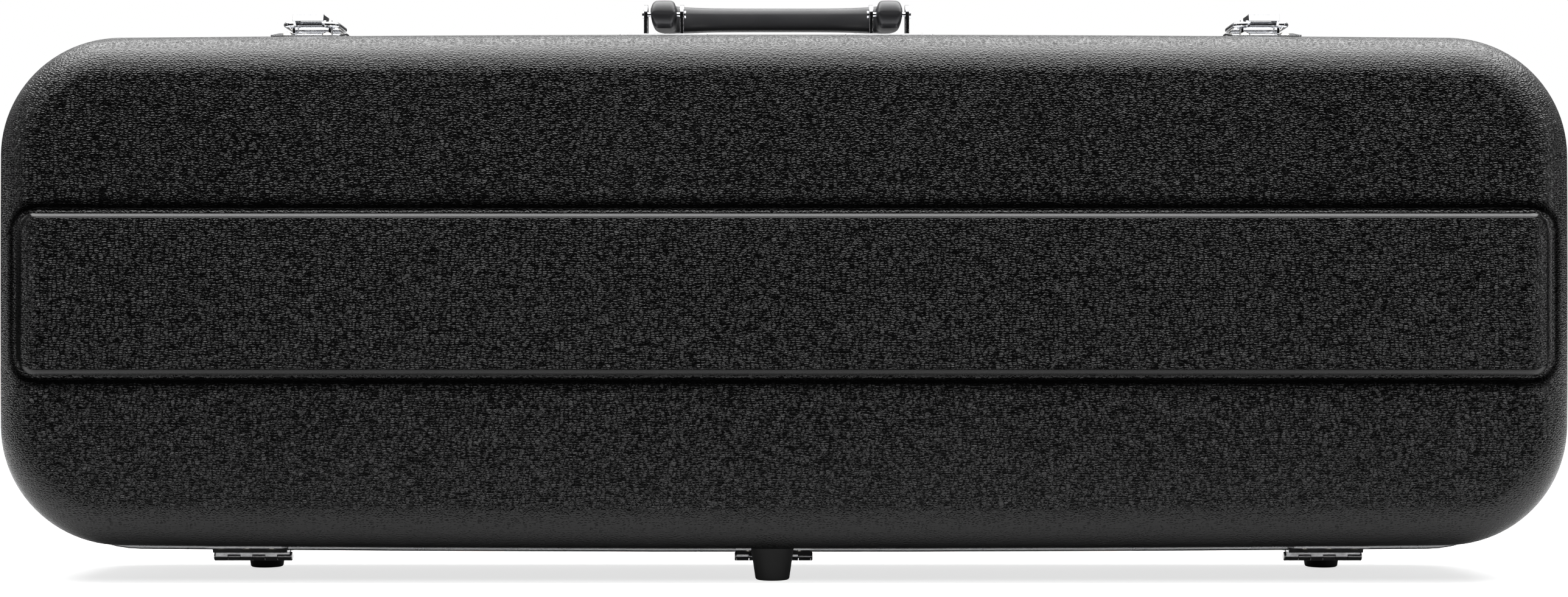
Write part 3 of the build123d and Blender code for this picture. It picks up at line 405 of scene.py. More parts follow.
def shell_surface(off, depth, edge_r, start, panel_inset=0.0, rows=26, fine=True):
    """Vertices (n, 3) in mm and quads of one half's surface, on the lid's side, from the seam's edge to the face with its raised panel."""
    tan = math.tan(math.radians(DRAFT))
    cosd, sind = math.cos(math.radians(DRAFT)), math.sin(math.radians(DRAFT))
    loop = np.vstack([run[:-1] for run in RUNS])
    nl = len(loop)
    yc = depth - edge_r
    dc = -off + yc * tan + edge_r / cosd
    # cross-section: (distance inwards from the seam's outline, depth)
    prof = []
    yt = yc + edge_r * sind
    for k in range(7):
        y = start + (yt - start) * k / 7
        prof.append((-off + y * tan, y))
    a0, a1 = math.pi - math.radians(DRAFT), math.pi / 2
    for k in range(rows + 1):
        t = a0 + (a1 - a0) * k / rows
        prof.append((dc + edge_r * math.cos(t), yc + edge_r * math.sin(t)))
    verts, quads = [], []
    for d, y in prof:
        ring = np.column_stack([loop[:, 0] - loop[:, 2] * d, np.full(nl, y), loop[:, 1] - loop[:, 3] * d])
        verts.append(ring)
    verts = np.vstack(verts)
    for k in range(len(prof) - 1):
        for i in range(nl):
            j = (i + 1) % nl
            quads.append((k * nl + i, k * nl + j, (k + 1) * nl + j, (k + 1) * nl + i))
    last = (len(prof) - 1) * nl
    # the face, as a grid whose border is the last ring
    nb, nr = len(RUNS[0]) - 1, len(RUNS[1]) - 1
    ring = verts[last:last + nl]
    bot = list(range(0, nb + 1))
    rig = list(range(nb, nb + nr + 1))
    tp = list(range(nb + nr, nb + nr + nb + 1))
    lef = [i % nl for i in range(nb + nr + nb, nl + 1)]
    grid = np.full((nr + 1, nb + 1), -1, int)
    grid[0, :] = bot
    grid[nr, :] = tp[::-1]
    grid[:, nb] = rig
    grid[:, 0] = lef[::-1]
    B, T = ring[grid[0, :]], ring[grid[nr, :]]
    L, R = ring[grid[:, 0]], ring[grid[:, nb]]
    v = np.arange(nr + 1) / nr
    u = np.arange(nb + 1) / nb

    def ease(t, width):
        s = np.clip(t / width, 0, 1)
        return 1 - s * s * (3 - 2 * s)

    step_row = 12 / nr * 2.1
    al, be = ease(v, step_row), ease(1 - v, step_row)
    ax, bx = ease(u, 0.16), ease(1 - u, 0.16)
    inner, idx = [], last + nl
    for j in range(1, nr):
        for i in range(1, nb):
            zz = R[j, 2] + al[j] * (B[i, 2] - B[0, 2]) + be[j] * (T[i, 2] - T[0, 2])
            xx = B[i, 0] + ax[i] * (L[j, 0] - L[0, 0]) + bx[i] * (R[j, 0] - R[0, 0])
            inner.append((xx, depth, zz))
            grid[j, i] = idx
            idx += 1
    # grid holds ring numbers on its border and absolute numbers inside
    full = grid.copy()
    full[0, :] += last
    full[nr, :] += last
    full[1:nr, 0] += last
    full[1:nr, nb] += last
    verts = np.vstack([verts, np.array(inner)])
    for j in range(nr):
        for i in range(nb):
            quads.append((full[j, i], full[j, i + 1], full[j + 1, i + 1], full[j + 1, i]))
    # the raised panel
    x, y, z = verts[:, 0], verts[:, 1], verts[:, 2]
    hx, hz, rr = PANEL_HALF_X - panel_inset, PANEL_HALF_Z - panel_inset * 0.55, 10.0
    qx, qz = np.abs(x) - hx + rr, np.abs(z + PANEL_DROP) - hz + rr
    sdf = np.hypot(np.clip(qx, 0, None), np.clip(qz, 0, None)) + np.minimum(np.maximum(qx, qz), 0) - rr
    q = -sdf                                         # distance inwards from the step's foot
    if fine:
        h = panel_step(q)
    else:
        h = smin(smax(q / 1.3, np.zeros_like(q), 1.0), np.full_like(q, PANEL_RISE), 2.0)
        h = np.where(sdf > 2.0, 0.0, h)
    r2 = edge_r - 5.0
    x0 = HALF_LEN + off - 8.0 - (depth + PANEL_RISE - r2) * tan - r2 / cosd
    gap = np.clip(np.abs(x) - x0, 0, None)
    d_b = depth + PANEL_RISE - r2 + np.sqrt(np.clip(r2 * r2 - gap * gap, 0, None))
    yb = d_b - (PANEL_RISE - h)
    lift = smax(y, yb, 0.8)
    use = (y > depth - edge_r * 0.9) & (sdf < 2.0) & (gap < r2)
    verts[:, 1] = np.where(use, np.maximum(y, lift), y)
    # how much grain the surface carries: none on the rolled edge of the panel; and a mask of painted shade at its foot,
    # standing in for the occlusion beside the step
    rolled = np.clip((q - 0.1) / 0.25, 0, 1) * np.clip((3.35 - q) / 0.5, 0, 1)
    foot = np.clip((-q - 1.1) / 0.5, 0, 1) * np.clip((q + 6.4) / 2.6, 0, 1)
    flat = np.clip((verts[:, 1] - (depth - edge_r * 0.35)) / 2.0, 0, 1)
    marks = np.column_stack([rolled * flat, foot * flat])
    verts[:, 2] += MID_Z
    return verts, quads, nl, marks


def make_shell(name, sign, node, body, outer=(0.0, DEPTH, 23.0, 1.8), inner=(-3.0, DEPTH - 3.0, 20.0, 1.8), mat="abs",
               fine=True, ripple=0.0):
    """A shell with thickness: outer skin, inner skin and the edge between them."""
    vo, qo, nl, mo = shell_surface(*outer, panel_inset=-outer[0], fine=fine)
    vi, qi, _, mi = shell_surface(*inner, panel_inset=-inner[0], rows=14, fine=False)
    if ripple:
        for k, v in enumerate(vi):
            p = Vector((v[0] * 0.02, v[2] * 0.03, v[1] * 0.03))
            v[1] -= ripple * max(0.0, noise.noise(p) + 0.3) * (1 if v[1] > 20 else 0)
    no = len(vo)
    faces = [tuple(q) for q in qo] + [tuple(reversed([i + no for i in q])) for q in qi]
    for i in range(nl):
        j = (i + 1) % nl
        faces.append((j, i, no + i, no + j))
    v = np.vstack([vo, vi]) * MM
    v[:, 1] *= sign
    o = mesh_obj(name, v, faces, M[mat])
    marks = np.vstack([mo, mi * 0])
    for k, key in enumerate(("rolled", "foot_shade")):
        at = o.data.attributes.new(key, "FLOAT", "POINT")
        at.data.foreach_set("value", marks[:, k].astype(np.float32))
    bm = bmesh.new()
    bm.from_mesh(o.data)
    bmesh.ops.recalc_face_normals(bm, faces=bm.faces)
    bm.to_mesh(o.data)
    bm.free()
    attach(o, body)
    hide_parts(node)
    return o


make_shell("lid_shell_skin", -1, "lid_shell", "lid")
make_shell("base_shell_skin", 1, "base_shell", "base")

# ================================================================== CAD nodes that stay
for n in N:
    if n.startswith(("latch_plate", "latch_lever", "latch_bail", "latch_pin", "latch_keeper", "handle_bracket", "handle_pin")):
        assign(n, M["chrome_round"] if n.startswith("handle_bracket") else M["chrome"])
    elif n.startswith(("hinge_leaf", "hinge_pin")):
        assign(n, M["nickel"])
    elif "rivets" in n:
        assign(n, M["rivet"])
    elif n.endswith("_rail"):
        assign(n, M["rail"])
    elif "packers" in n:
        assign(n, M["packing"])
    elif n.startswith(("foot_screw", "bow_screw")):
        assign(n, M["steel"])
    elif n.startswith("foot_"):
        assign(n, M["rubber"])
    elif n == "handle_grip":
        assign(n, M["handle"])
    elif n.startswith(("bow_holder", "bow_clip")):
        assign(n, M["clip"])
    elif n in ("compartment_hinge_leaf", "compartment_pin"):
        assign(n, M["brass"])
    elif n in ("lid_lining", "lid_pad", "bow_tip_pockets"):
        assign(n, M["plush_lid"])
    elif n in ("neck_strap", "compartment_pull_tab"):
        assign(n, M["strap"])
    elif n not in ("lid_shell", "base_shell"):
        assign(n, M["plush"])



# ================================================================== helpers for made pieces
def baked(obj):
    """The object's mesh with its modifiers applied."""
    dg = bpy.context.evaluated_depsgraph_get()
    dg.update()
    me = bpy.data.meshes.new_from_object(obj.evaluated_get(dg))
    old = obj.data
    obj.modifiers.clear()
    obj.data = me
    if old.users == 0:
        bpy.data.meshes.remove(old)
    return obj


def copy_of(node, name, mat):
    me = N[node].data.copy()
    me.name = name
    me.materials.clear()
    me.materials.append(mat)
    o = bpy.data.objects.new(name, me)
    col.objects.link(o)
    return o


def remesh(o, voxel, smooth=0, factor=0.5):
    m = o.modifiers.new("remesh", "REMESH")
    m.mode = "VOXEL"
    m.voxel_size = voxel * MM
    m.use_smooth_shade = True
    if smooth:
        sm = o.modifiers.new("smooth", "SMOOTH")
        sm.factor, sm.iterations = factor, smooth
    return baked(o)


def set_smooth(o):
    o.data.polygons.foreach_set("use_smooth", [True] * len(o.data.polygons))


def points(o):
    v = np.empty(len(o.data.vertices) * 3)
    o.data.vertices.foreach_get("co", v)
    return v.reshape(-1, 3)


def put_points(o, v):
    o.data.vertices.foreach_set("co", v.reshape(-1))
    o.data.update()


def resample(pts, step, closed=True):
    p = np.asarray(pts, float)
    if closed:
        p = np.vstack([p, p[:1]])
    d = np.linalg.norm(np.diff(p, axis=0), axis=1)
    s = np.concatenate([[0], np.cumsum(d)])
    n = max(8, int(round(s[-1] / step)))
    t = np.linspace(0, s[-1], n, endpoint=not closed)
    return np.column_stack([np.interp(t, s, p[:, k]) for k in range(3)])


def cord(name, pts, r, body, mat, closed=True, pitch=3.4, twist=0.16, sides=8, step=0.85):
    """A twisted cord along a path of points in mm."""
    p = resample(pts, step, closed)
    n = len(p)
    tan = (np.roll(p, -1, 0) - np.roll(p, 1, 0)) if closed else np.gradient(p, axis=0)
    tan /= np.linalg.norm(tan, axis=1)[:, None]
    up = np.array([0.0, 1.0, 0.0])
    side = np.cross(tan, up)
    side /= np.maximum(np.linalg.norm(side, axis=1), 1e-6)[:, None]
    nor = np.cross(side, tan)
    verts, faces = [], []
    for i in range(n):
        ph = 2 * math.pi * i * step / pitch
        for k in range(sides):
            t = 2 * math.pi * k / sides
            rr = r * (1 + twist * math.cos(2 * t - ph))
            verts.append((p[i] + side[i] * rr * math.cos(t) + nor[i] * rr * math.sin(t)) * MM)
    for i in range(n if closed else n - 1):
        j = (i + 1) % n
        for k in range(sides):
            l = (k + 1) % sides
            faces.append((i * sides + k, i * sides + l, j * sides + l, j * sides + k))
    if not closed:
        faces.append(tuple(range(sides))[::-1])
        faces.append(tuple((n - 1) * sides + k for k in range(sides)))
    o = mesh_obj(name, verts, faces, mat)
    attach(o, body)
    return o


def stitches(name, pts, body, mat, up=(0, -1, 0), length=2.3, gap=1.2, r=0.28, closed=False):
    """A row of thread stitches along a path in mm."""
    p = resample(pts, 0.4, closed)
    d = np.linalg.norm(np.diff(p, axis=0), axis=1)
    s = np.concatenate([[0], np.cumsum(d)])
    verts, faces = [], []
    t0 = gap / 2
    up = np.array(up, float)
    while t0 + length < s[-1]:
        ring = []
        for f in (0.0, 0.2, 0.5, 0.8, 1.0):
            c = np.array([np.interp(t0 + f * length, s, p[:, k]) for k in range(3)])
            c2 = np.array([np.interp(min(s[-1], t0 + f * length + 0.1), s, p[:, k]) for k in range(3)])
            tg = c2 - c
            ln = np.linalg.norm(tg)
            tg = tg / ln if ln > 1e-9 else np.array([1.0, 0, 0])
            sd = np.cross(tg, up)
            sd /= max(1e-9, np.linalg.norm(sd))
            w = r * (0.35 if f in (0.0, 1.0) else 1.0)
            lift = r * (-0.5 if f in (0.0, 1.0) else 0.35)
            for k in range(6):
                a = math.pi * 2 * k / 6
                verts.append((c + up * (lift + w * math.sin(a)) + sd * w * math.cos(a)) * MM)
            ring.append(len(verts) - 6)
        for a, b in zip(ring, ring[1:]):
            for k in range(6):
                l = (k + 1) % 6
                faces.append((a + k, a + l, b + l, b + k))
        faces.append(tuple(ring[0] + k for k in range(6))[::-1])
        faces.append(tuple(ring[-1] + k for k in range(6)))
        t0 += length + gap
    o = mesh_obj(name, verts, faces, mat)
    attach(o, body)
    return o


# ================================================================== handle
def handle():
    """A moulded handle: two hubs on the pins, arms running back from them and a grip between the arms."""
    lo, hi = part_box("handle_grip")
    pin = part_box("handle_pin_left")
    hy, hz = (pin[0].y + pin[1].y) / 2 / MM, (pin[0].z + pin[1].z) / 2 / MM
    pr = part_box("handle_pin_right")
    xl, xr = (pin[0].x + pin[1].x) / 2 / MM, (pr[0].x + pr[1].x) / 2 / MM
    cx = (xl + xr) / 2
    half = (xr - xl) / 2
    gy = hi.y / MM - 6.7
    # half of the path, from the left hub to the middle: position, direction, and how far along from hub to grip
    path = []
    for k in range(13):
        y = hy - 7.4 + 7.4 * (1 - math.cos(math.pi / 2 * k / 12))
        path.append((-half, y, 90.0, 0.0))
    rb = 8.0
    n = 7
    for k in range(1, n + 1):
        path.append((-half, hy + (gy - rb - hy) * k / n, 90.0, 0.55 * k / n))
    n = 12
    for k in range(1, n + 1):
        a = math.pi / 2 * k / n
        path.append((-half + rb * (1 - math.cos(a)), gy - rb + rb * math.sin(a), 90.0 - math.degrees(a), 0.55 + 0.25 * k / n))
    n = 26
    for k in range(1, n + 1):
        t = k / n
        path.append((-half + rb + (half - rb) * t, gy, 0.0, min(1.0, 0.8 + 0.2 * t * 3)))
    path += [(-x, y, -ang, w) for x, y, ang, w in reversed(path[:-1])]
    m = 48
    verts, faces = [], []
    hub = [(-6.9, 1.5), (-6.0, 5.4), (-4.9, 7.3), (0.0, 7.5), (4.9, 7.3), (6.3, 5.6), (7.2, 2.2), (7.2, -0.6), (6.2, -5.2), (4.9, -7.3),
           (0.0, -7.5), (-4.6, -7.4), (-5.6, -5.6), (-6.9, -0.6)]

    def poly_radius(ang, poly):
        d = np.array([math.cos(ang), math.sin(ang)])
        best = 0
        for i in range(len(poly)):
            p, q = np.array(poly[i]), np.array(poly[(i + 1) % len(poly)])
            e = q - p
            den = d[0] * e[1] - d[1] * e[0]
            if abs(den) < 1e-9:
                continue
            t = (p[0] * e[1] - p[1] * e[0]) / den
            u = (p[0] * d[1] - p[1] * d[0]) / den
            if t > 0 and -1e-6 <= u <= 1 + 1e-6:
                best = max(best, t)
        return best

    hub_r = [poly_radius(2 * math.pi * k / m, hub) for k in range(m)]
    hub_r = [(hub_r[k - 1] + 6 * hub_r[k] + hub_r[(k + 1) % m]) / 8 for k in range(m)]
    L = len(path)
    for i, (px, py, ang, w) in enumerate(path):
        a = math.radians(ang)
        d = (math.cos(a), math.sin(a))
        left = (-d[1], d[0])
        right_half = i > L // 2
        if right_half:
            d = (math.cos(a), math.sin(a))
        x = cx + px
        # the hub is round about the pin: the section shrinks towards its front
        back = (hy - py) / 7.45
        sc_w = math.sqrt(max(0.0, 1 - back * back)) if py < hy else 1.0
        sc_u = 0.72 + 0.28 * sc_w ** 0.6 if py < hy else 1.0
        mid = abs(px) / half
        for k in range(m):
            t = 2 * math.pi * k / m
            c, s_ = math.cos(t), math.sin(t)
            p4 = (abs(c) ** 3.2 + abs(s_) ** 3.2) ** (-1 / 3.2)
            wide = 6.35 + 0.5 * mid ** 3
            hh = 6.2 + 1.5 * mid ** 4
            bu, bw = p4 * c * wide, p4 * s_ * hh
            if s_ > 0:
                bu *= 1 - 0.16 * s_ ** 2
            hu, hw = hub_r[k] * c, hub_r[k] * s_
            e = w * w * (3 - 2 * w) if w < 1 else 1.0
            u = (hu * (1 - e) + bu * e) * sc_u
            v = (hw * (1 - e) + bw * e) * sc_w
            # a fine parting line runs round the upper third
            seam = math.exp(-((v - 2.7) / 0.28) ** 2) * 0.16 * sc_w
            rr = math.hypot(u, v)
            u *= 1 + seam / max(rr, 2)
            verts.append(((x + left[0] * u) * MM, (py + left[1] * u) * MM, (hz + v) * MM))
    for i in range(L - 1):
        for k in range(m):
            l = (k + 1) % m
            faces.append((i * m + k, i * m + l, (i + 1) * m + l, (i + 1) * m + k))
    faces.append(tuple(range(m))[::-1])
    faces.append(tuple((L - 1) * m + k for k in range(m)))
    o = mesh_obj("handle_moulding", verts, faces, M["handle"])
    bm = bmesh.new()
    bm.from_mesh(o.data)
    bmesh.ops.recalc_face_normals(bm, faces=bm.faces)
    bm.to_mesh(o.data)
    bm.free()
    sub = o.modifiers.new("sub", "SUBSURF")
    sub.levels = sub.render_levels = 1
    baked(o)
    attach(o, "handle")
    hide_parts("handle_grip")


handle()


# ================================================================== interior: base
def border_loops(o, level, tol=0.15):
    """Closed loops of edges where the flat face at this depth (mm, along Y) meets the walls of its hollows. Loops in mm."""
    bm = bmesh.new()
    bm.from_mesh(o.data)
    bmesh.ops.remove_doubles(bm, verts=bm.verts, dist=0.00002)
    edges = []
    for e in bm.edges:
        if len(e.link_faces) != 2:
            continue
        if all(abs(v.co.y / MM - level) < tol for v in e.verts):
            flat = [abs(f.normal.y) > 0.95 and abs(f.calc_center_median().y / MM - level) < tol for f in e.link_faces]
            if flat[0] != flat[1]:
                edges.append(e)
    nbr = {}
    for e in edges:
        a, b = e.verts[0].index, e.verts[1].index
        nbr.setdefault(a, []).append(b)
        nbr.setdefault(b, []).append(a)
    co = {v.index: np.array(v.co) / MM for v in bm.verts if v.index in nbr}
    bm.free()
    loops, seen = [], set()
    for st in nbr:
        if st in seen:
            continue
        loop, cur, prev = [st], st, None
        seen.add(st)
        while True:
            nxt = [k for k in nbr[cur] if k != prev and k not in seen]
            if not nxt:
                break
            prev, cur = cur, nxt[0]
            seen.add(cur)
            loop.append(cur)
        if len(loop) > 6:
            loops.append(np.array([co[k] for k in loop]))
    return loops


def outline_length(l):
    return np.linalg.norm(np.diff(np.vstack([l, l[:1]]), axis=0), axis=1).sum()


M["cord"] = plush("cord_satin", (0.10, 0.006, 0.016), (0.26, 0.02, 0.05))
M["thread"] = plastic("thread", (0.2, 0.02, 0.045), 0.6, scale=3000)
M["thread_dark"] = plastic("thread_dark", (0.035, 0.035, 0.037), 0.6, scale=3000)

insert = copy_of("base_insert", "base_insert_plush", M["plush"])
remesh(insert, 2.6, smooth=5)
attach(insert, "base")
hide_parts("base_insert")
top_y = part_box("base_insert")[0].y / MM
loops = sorted(border_loops(N["base_insert"], top_y), key=outline_length, reverse=True)
for k, lp in enumerate(loops[1:8]):
    if outline_length(lp) < 150:
        continue
    cx, cz = lp[:, 0].mean(), lp[:, 2].mean()
    lp = resample(lp, 2.0)
    for _ in range(6):
        lp = (np.roll(lp, 1, 0) + 2 * lp + np.roll(lp, -1, 0)) / 4
    lp[:, 1] = top_y + 0.25
    cord(f"cavity_cord_{k + 1}", lp, 0.95, "base", M["cord"])


def inflate(name, node, mat, body, voxel, inset, pressure, cap, rest_side, sub=1, smooth=2, stiff=15.0):
    """A padded piece: remeshed, blown up as cloth with its back held, its movement capped, then subdivided."""
    o = copy_of(node, name, mat)
    v = points(o)
    lo, hi = v.min(0), v.max(0)
    c, h = (lo + hi) / 2, (hi - lo) / 2
    k = np.clip(1 - inset * MM / h, 0.2, 1)
    v = c + (v - c) * k
    # the back stays where it rests
    ax, sg = rest_side
    face = hi[ax] if sg > 0 else lo[ax]
    v[:, ax] += face - (c[ax] + sg * h[ax] * k[ax])
    put_points(o, v)
    remesh(o, voxel, smooth=1)
    v0 = points(o)
    vg = o.vertex_groups.new(name="held")
    held = np.where(np.abs(v0[:, ax] - v0[:, ax].max() if sg > 0 else v0[:, ax] - v0[:, ax].min()) < voxel * 0.45 * MM)[0]
    vg.add([int(i) for i in held], 1.0, "REPLACE")
    cm = o.modifiers.new("cloth", "CLOTH")
    st = cm.settings
    st.quality = 5
    st.mass = 0.3
    st.tension_stiffness = st.compression_stiffness = stiff
    st.shear_stiffness = stiff * 0.4
    st.bending_stiffness = 0.6
    st.use_pressure = True
    st.uniform_pressure_force = pressure
    st.vertex_group_mass = "held"
    st.effector_weights.gravity = 0
    cm.collision_settings.use_collision = False
    cm.point_cache.frame_start, cm.point_cache.frame_end = 1, 22
    for f in range(1, 21):
        scene.frame_set(f)
    baked(o)
    scene.frame_set(1)
    v1 = points(o)
    if len(v1) == len(v0):
        d = v1 - v0
        ln = np.linalg.norm(d, axis=1)
        d *= np.minimum(1, cap * MM / np.maximum(ln, 1e-9))[:, None]
        v1 = v0 + d
        lo2, hi2 = lo - 0.0002, hi + 0.0002
        put_points(o, np.clip(v1, lo2, hi2) * 0.85 + v1 * 0.15)
    if smooth:
        sm = o.modifiers.new("smooth", "SMOOTH")
        sm.factor, sm.iterations = 0.5, smooth
    if sub:
        sb = o.modifiers.new("sub", "SUBSURF")
        sb.levels = sb.render_levels = sub
    baked(o)
    set_smooth(o)
    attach(o, body)
    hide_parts(node)
    return o


inflate("violin_pad_lower_soft", "violin_pad_lower", M["plush"], "base", 4.0, 1.6, 4.0, 5.0, (1, 1))
inflate("violin_pad_upper_soft", "violin_pad_upper", M["plush"], "base", 4.0, 1.6, 4.0, 5.0, (1, 1))
inflate("neck_cradle_soft", "neck_cradle", M["plush"], "base", 2.6, 0.7, 3.0, 2.0, (1, 1))
inflate("lid_pad_soft", "lid_pad", M["plush_lid"], "lid", 3.0, 0.9, 4.0, 5.0, (1, -1))

# seams on the lid's pad: a cord round its edge
lo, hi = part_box("lid_pad")
lo, hi = lo / MM, hi / MM


def round_rect(x0, x1, z0, z1, r, y, n=10):
    pts = []
    for cx, cz, a0 in ((x1 - r, z1 - r, 0), (x0 + r, z1 - r, 90), (x0 + r, z0 + r, 180), (x1 - r, z0 + r, 270)):
        for k in range(n + 1):
            a = math.radians(a0 + 90 * k / n)
            pts.append((cx + r * math.cos(a), y, cz + r * math.sin(a)))
    return pts


cord("lid_pad_cord", round_rect(lo.x, hi.x, lo.z, hi.z, 40, lo.y + 1.6), 1.25, "lid", M["cord"])

# the lid's lining: a thin plush skin inside the shell, slightly rippled
make_shell("lid_lining_skin", -1, "lid_lining", "lid", outer=(-3.15, DEPTH - 3.15, 19.9, 5.0), inner=(-3.95, DEPTH - 3.95, 19.1, 5.0),
           mat="plush_lid", fine=False, ripple=0.25)


def strip(name, pts, width_dir, width, thick, mat, body, node=None, edge=0.35):
    """A flat strap along a path of points in mm: rounded thin section with a slightly thicker selvedge."""
    p = np.asarray(pts, float)
    n = len(p)
    wd = np.asarray(width_dir, float)
    tan = np.gradient(p, axis=0)
    tan /= np.linalg.norm(tan, axis=1)[:, None]
    nor = np.cross(tan, wd)
    nor /= np.linalg.norm(nor, axis=1)[:, None]
    us = [-1, -0.97, -0.9, -0.82, -0.4, 0, 0.4, 0.82, 0.9, 0.97, 1]
    th = [0.35, 0.85, 1.0, 0.82, 0.8, 0.8, 0.8, 0.82, 1.0, 0.85, 0.35]
    sec = [(u, t / 2) for u, t in zip(us, th)] + [(u, -t / 2) for u, t in zip(us[::-1], th[::-1])]
    m = len(sec)
    verts, faces = [], []
    for i in range(n):
        for u, t in sec:
            verts.append((p[i] + wd * u * width / 2 + nor[i] * t * thick) * MM)
    for i in range(n - 1):
        for k in range(m):
            l = (k + 1) % m
            faces.append((i * m + k, i * m + l, (i + 1) * m + l, (i + 1) * m + k))
    faces.append(tuple(range(m))[::-1])
    faces.append(tuple((n - 1) * m + k for k in range(m)))
    o = mesh_obj(name, verts, faces, mat)
    bm = bmesh.new()
    bm.from_mesh(o.data)
    bmesh.ops.recalc_face_normals(bm, faces=bm.faces)
    bm.to_mesh(o.data)
    bm.free()
    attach(o, body)
    if node:
        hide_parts(node)
    return o


# neck strap: two woven tails joined by hook-and-loop in the middle
lo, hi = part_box("neck_strap")
lo, hi = lo / MM, hi / MM
xm = (lo.x + hi.x) / 2
zm = (lo.z + hi.z) / 2
ym = (lo.y + hi.y) / 2
half = (hi.z - lo.z) / 2
path = [(xm, ym + 0.25 - 0.9 * math.exp(-((t) / 0.75) ** 6) + 0.12 * math.sin(t * 7), zm + t * half) for t in np.linspace(-1, 1, 61)]
strip("neck_strap_web", path, (1, 0, 0), hi.x - lo.x, 1.25, M["strap"], "base", node="neck_strap")
for sgn in (-1, 1):
    zz = zm + sgn * (half - 4.5)
    x0, x1 = lo.x + 2.2, hi.x - 2.2
    yy = ym - 0.42
    pts = [(x0, yy, zz - 2.6), (x1, yy, zz - 2.6), (x1, yy, zz + 2.6), (x0, yy, zz + 2.6), (x0, yy, zz - 2.6), (x1, yy, zz + 2.6)]
    stitches(f"neck_strap_stitch_{'lower' if sgn < 0 else 'upper'}", pts, "base", M["thread_dark"])
flap = [(xm, ym - 1.55 + 0.1 * math.cos(t * 3), zm + t * 17) for t in np.linspace(-1, 1, 21)]
strip("neck_strap_flap", flap, (1, 0, 0), (hi.x - lo.x) * 0.92, 0.9, M["strap"], "base")

# pull tab of the small compartment: a folded loop of tape
lo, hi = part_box("compartment_pull_tab")
lo, hi = lo / MM, hi / MM
zt = (lo.z + hi.z) / 2
yt = (lo.y + hi.y) / 2
path = []
for t in np.linspace(0, 1, 13):
    path.append((hi.x - 0.3 - t * (hi.x - lo.x - 2.0), yt + 0.32 - 0.3 * math.sin(t * math.pi), zt))
for a in np.linspace(20, 160, 7):
    path.append((lo.x + 1.0 - 0.8 * math.sin(math.radians(a)), yt + 0.2 * math.cos(math.radians(a)), zt))
for t in np.linspace(1, 0, 13):
    path.append((hi.x - 0.3 - t * (hi.x - lo.x - 2.0), yt - 0.55 - 0.25 * math.sin(t * math.pi), zt))
strip("compartment_tab_loop", path, (0, 0, 1), hi.z - lo.z, 0.5, M["strap"], "compartment", node="compartment_pull_tab")
zs = (hi.z - lo.z) / 2 - 1.6
xa, xb = hi.x - 6.0, hi.x - 1.2
yy = yt - 0.85
stitches("compartment_tab_stitch", [(xa, yy, zt - zs), (xb, yy, zt - zs), (xb, yy, zt + zs), (xa, yy, zt + zs), (xa, yy, zt - zs), (xb, yy, zt + zs)],
         "compartment", M["thread_dark"], length=1.8, gap=0.9, r=0.22)

# the compartment's lid keeps its CAD shape; a cord trims its edge
lo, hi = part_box("compartment_lid")
lo, hi = lo / MM, hi / MM
clx1 = hi.x - 4.0
cord("compartment_lid_cord", round_rect(lo.x + 0.6, clx1, lo.z + 0.6, hi.z - 0.6, 2.5, lo.y + 0.4, n=5), 0.7, "compartment", M["cord"],
     pitch=2.6)

# bow tip pockets: soft sleeves, remeshed and smoothed, with a slight ripple of noise
for node in ("bow_tip_pockets",):
    o = copy_of(node, "bow_tip_sleeves", M["plush_lid"])
    remesh(o, 1.1, smooth=4)
    v = points(o)
    for k in range(len(v)):
        p = v[k] / MM
        nz = noise.noise(Vector((p[0] * 0.09, p[1] * 0.12, p[2] * 0.12)))
        v[k, 1] += 0.5 * nz * MM * (1 if p[1] > lo.y else 0)
    put_points(o, v)
    set_smooth(o)
    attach(o, "lid")
    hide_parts(node)

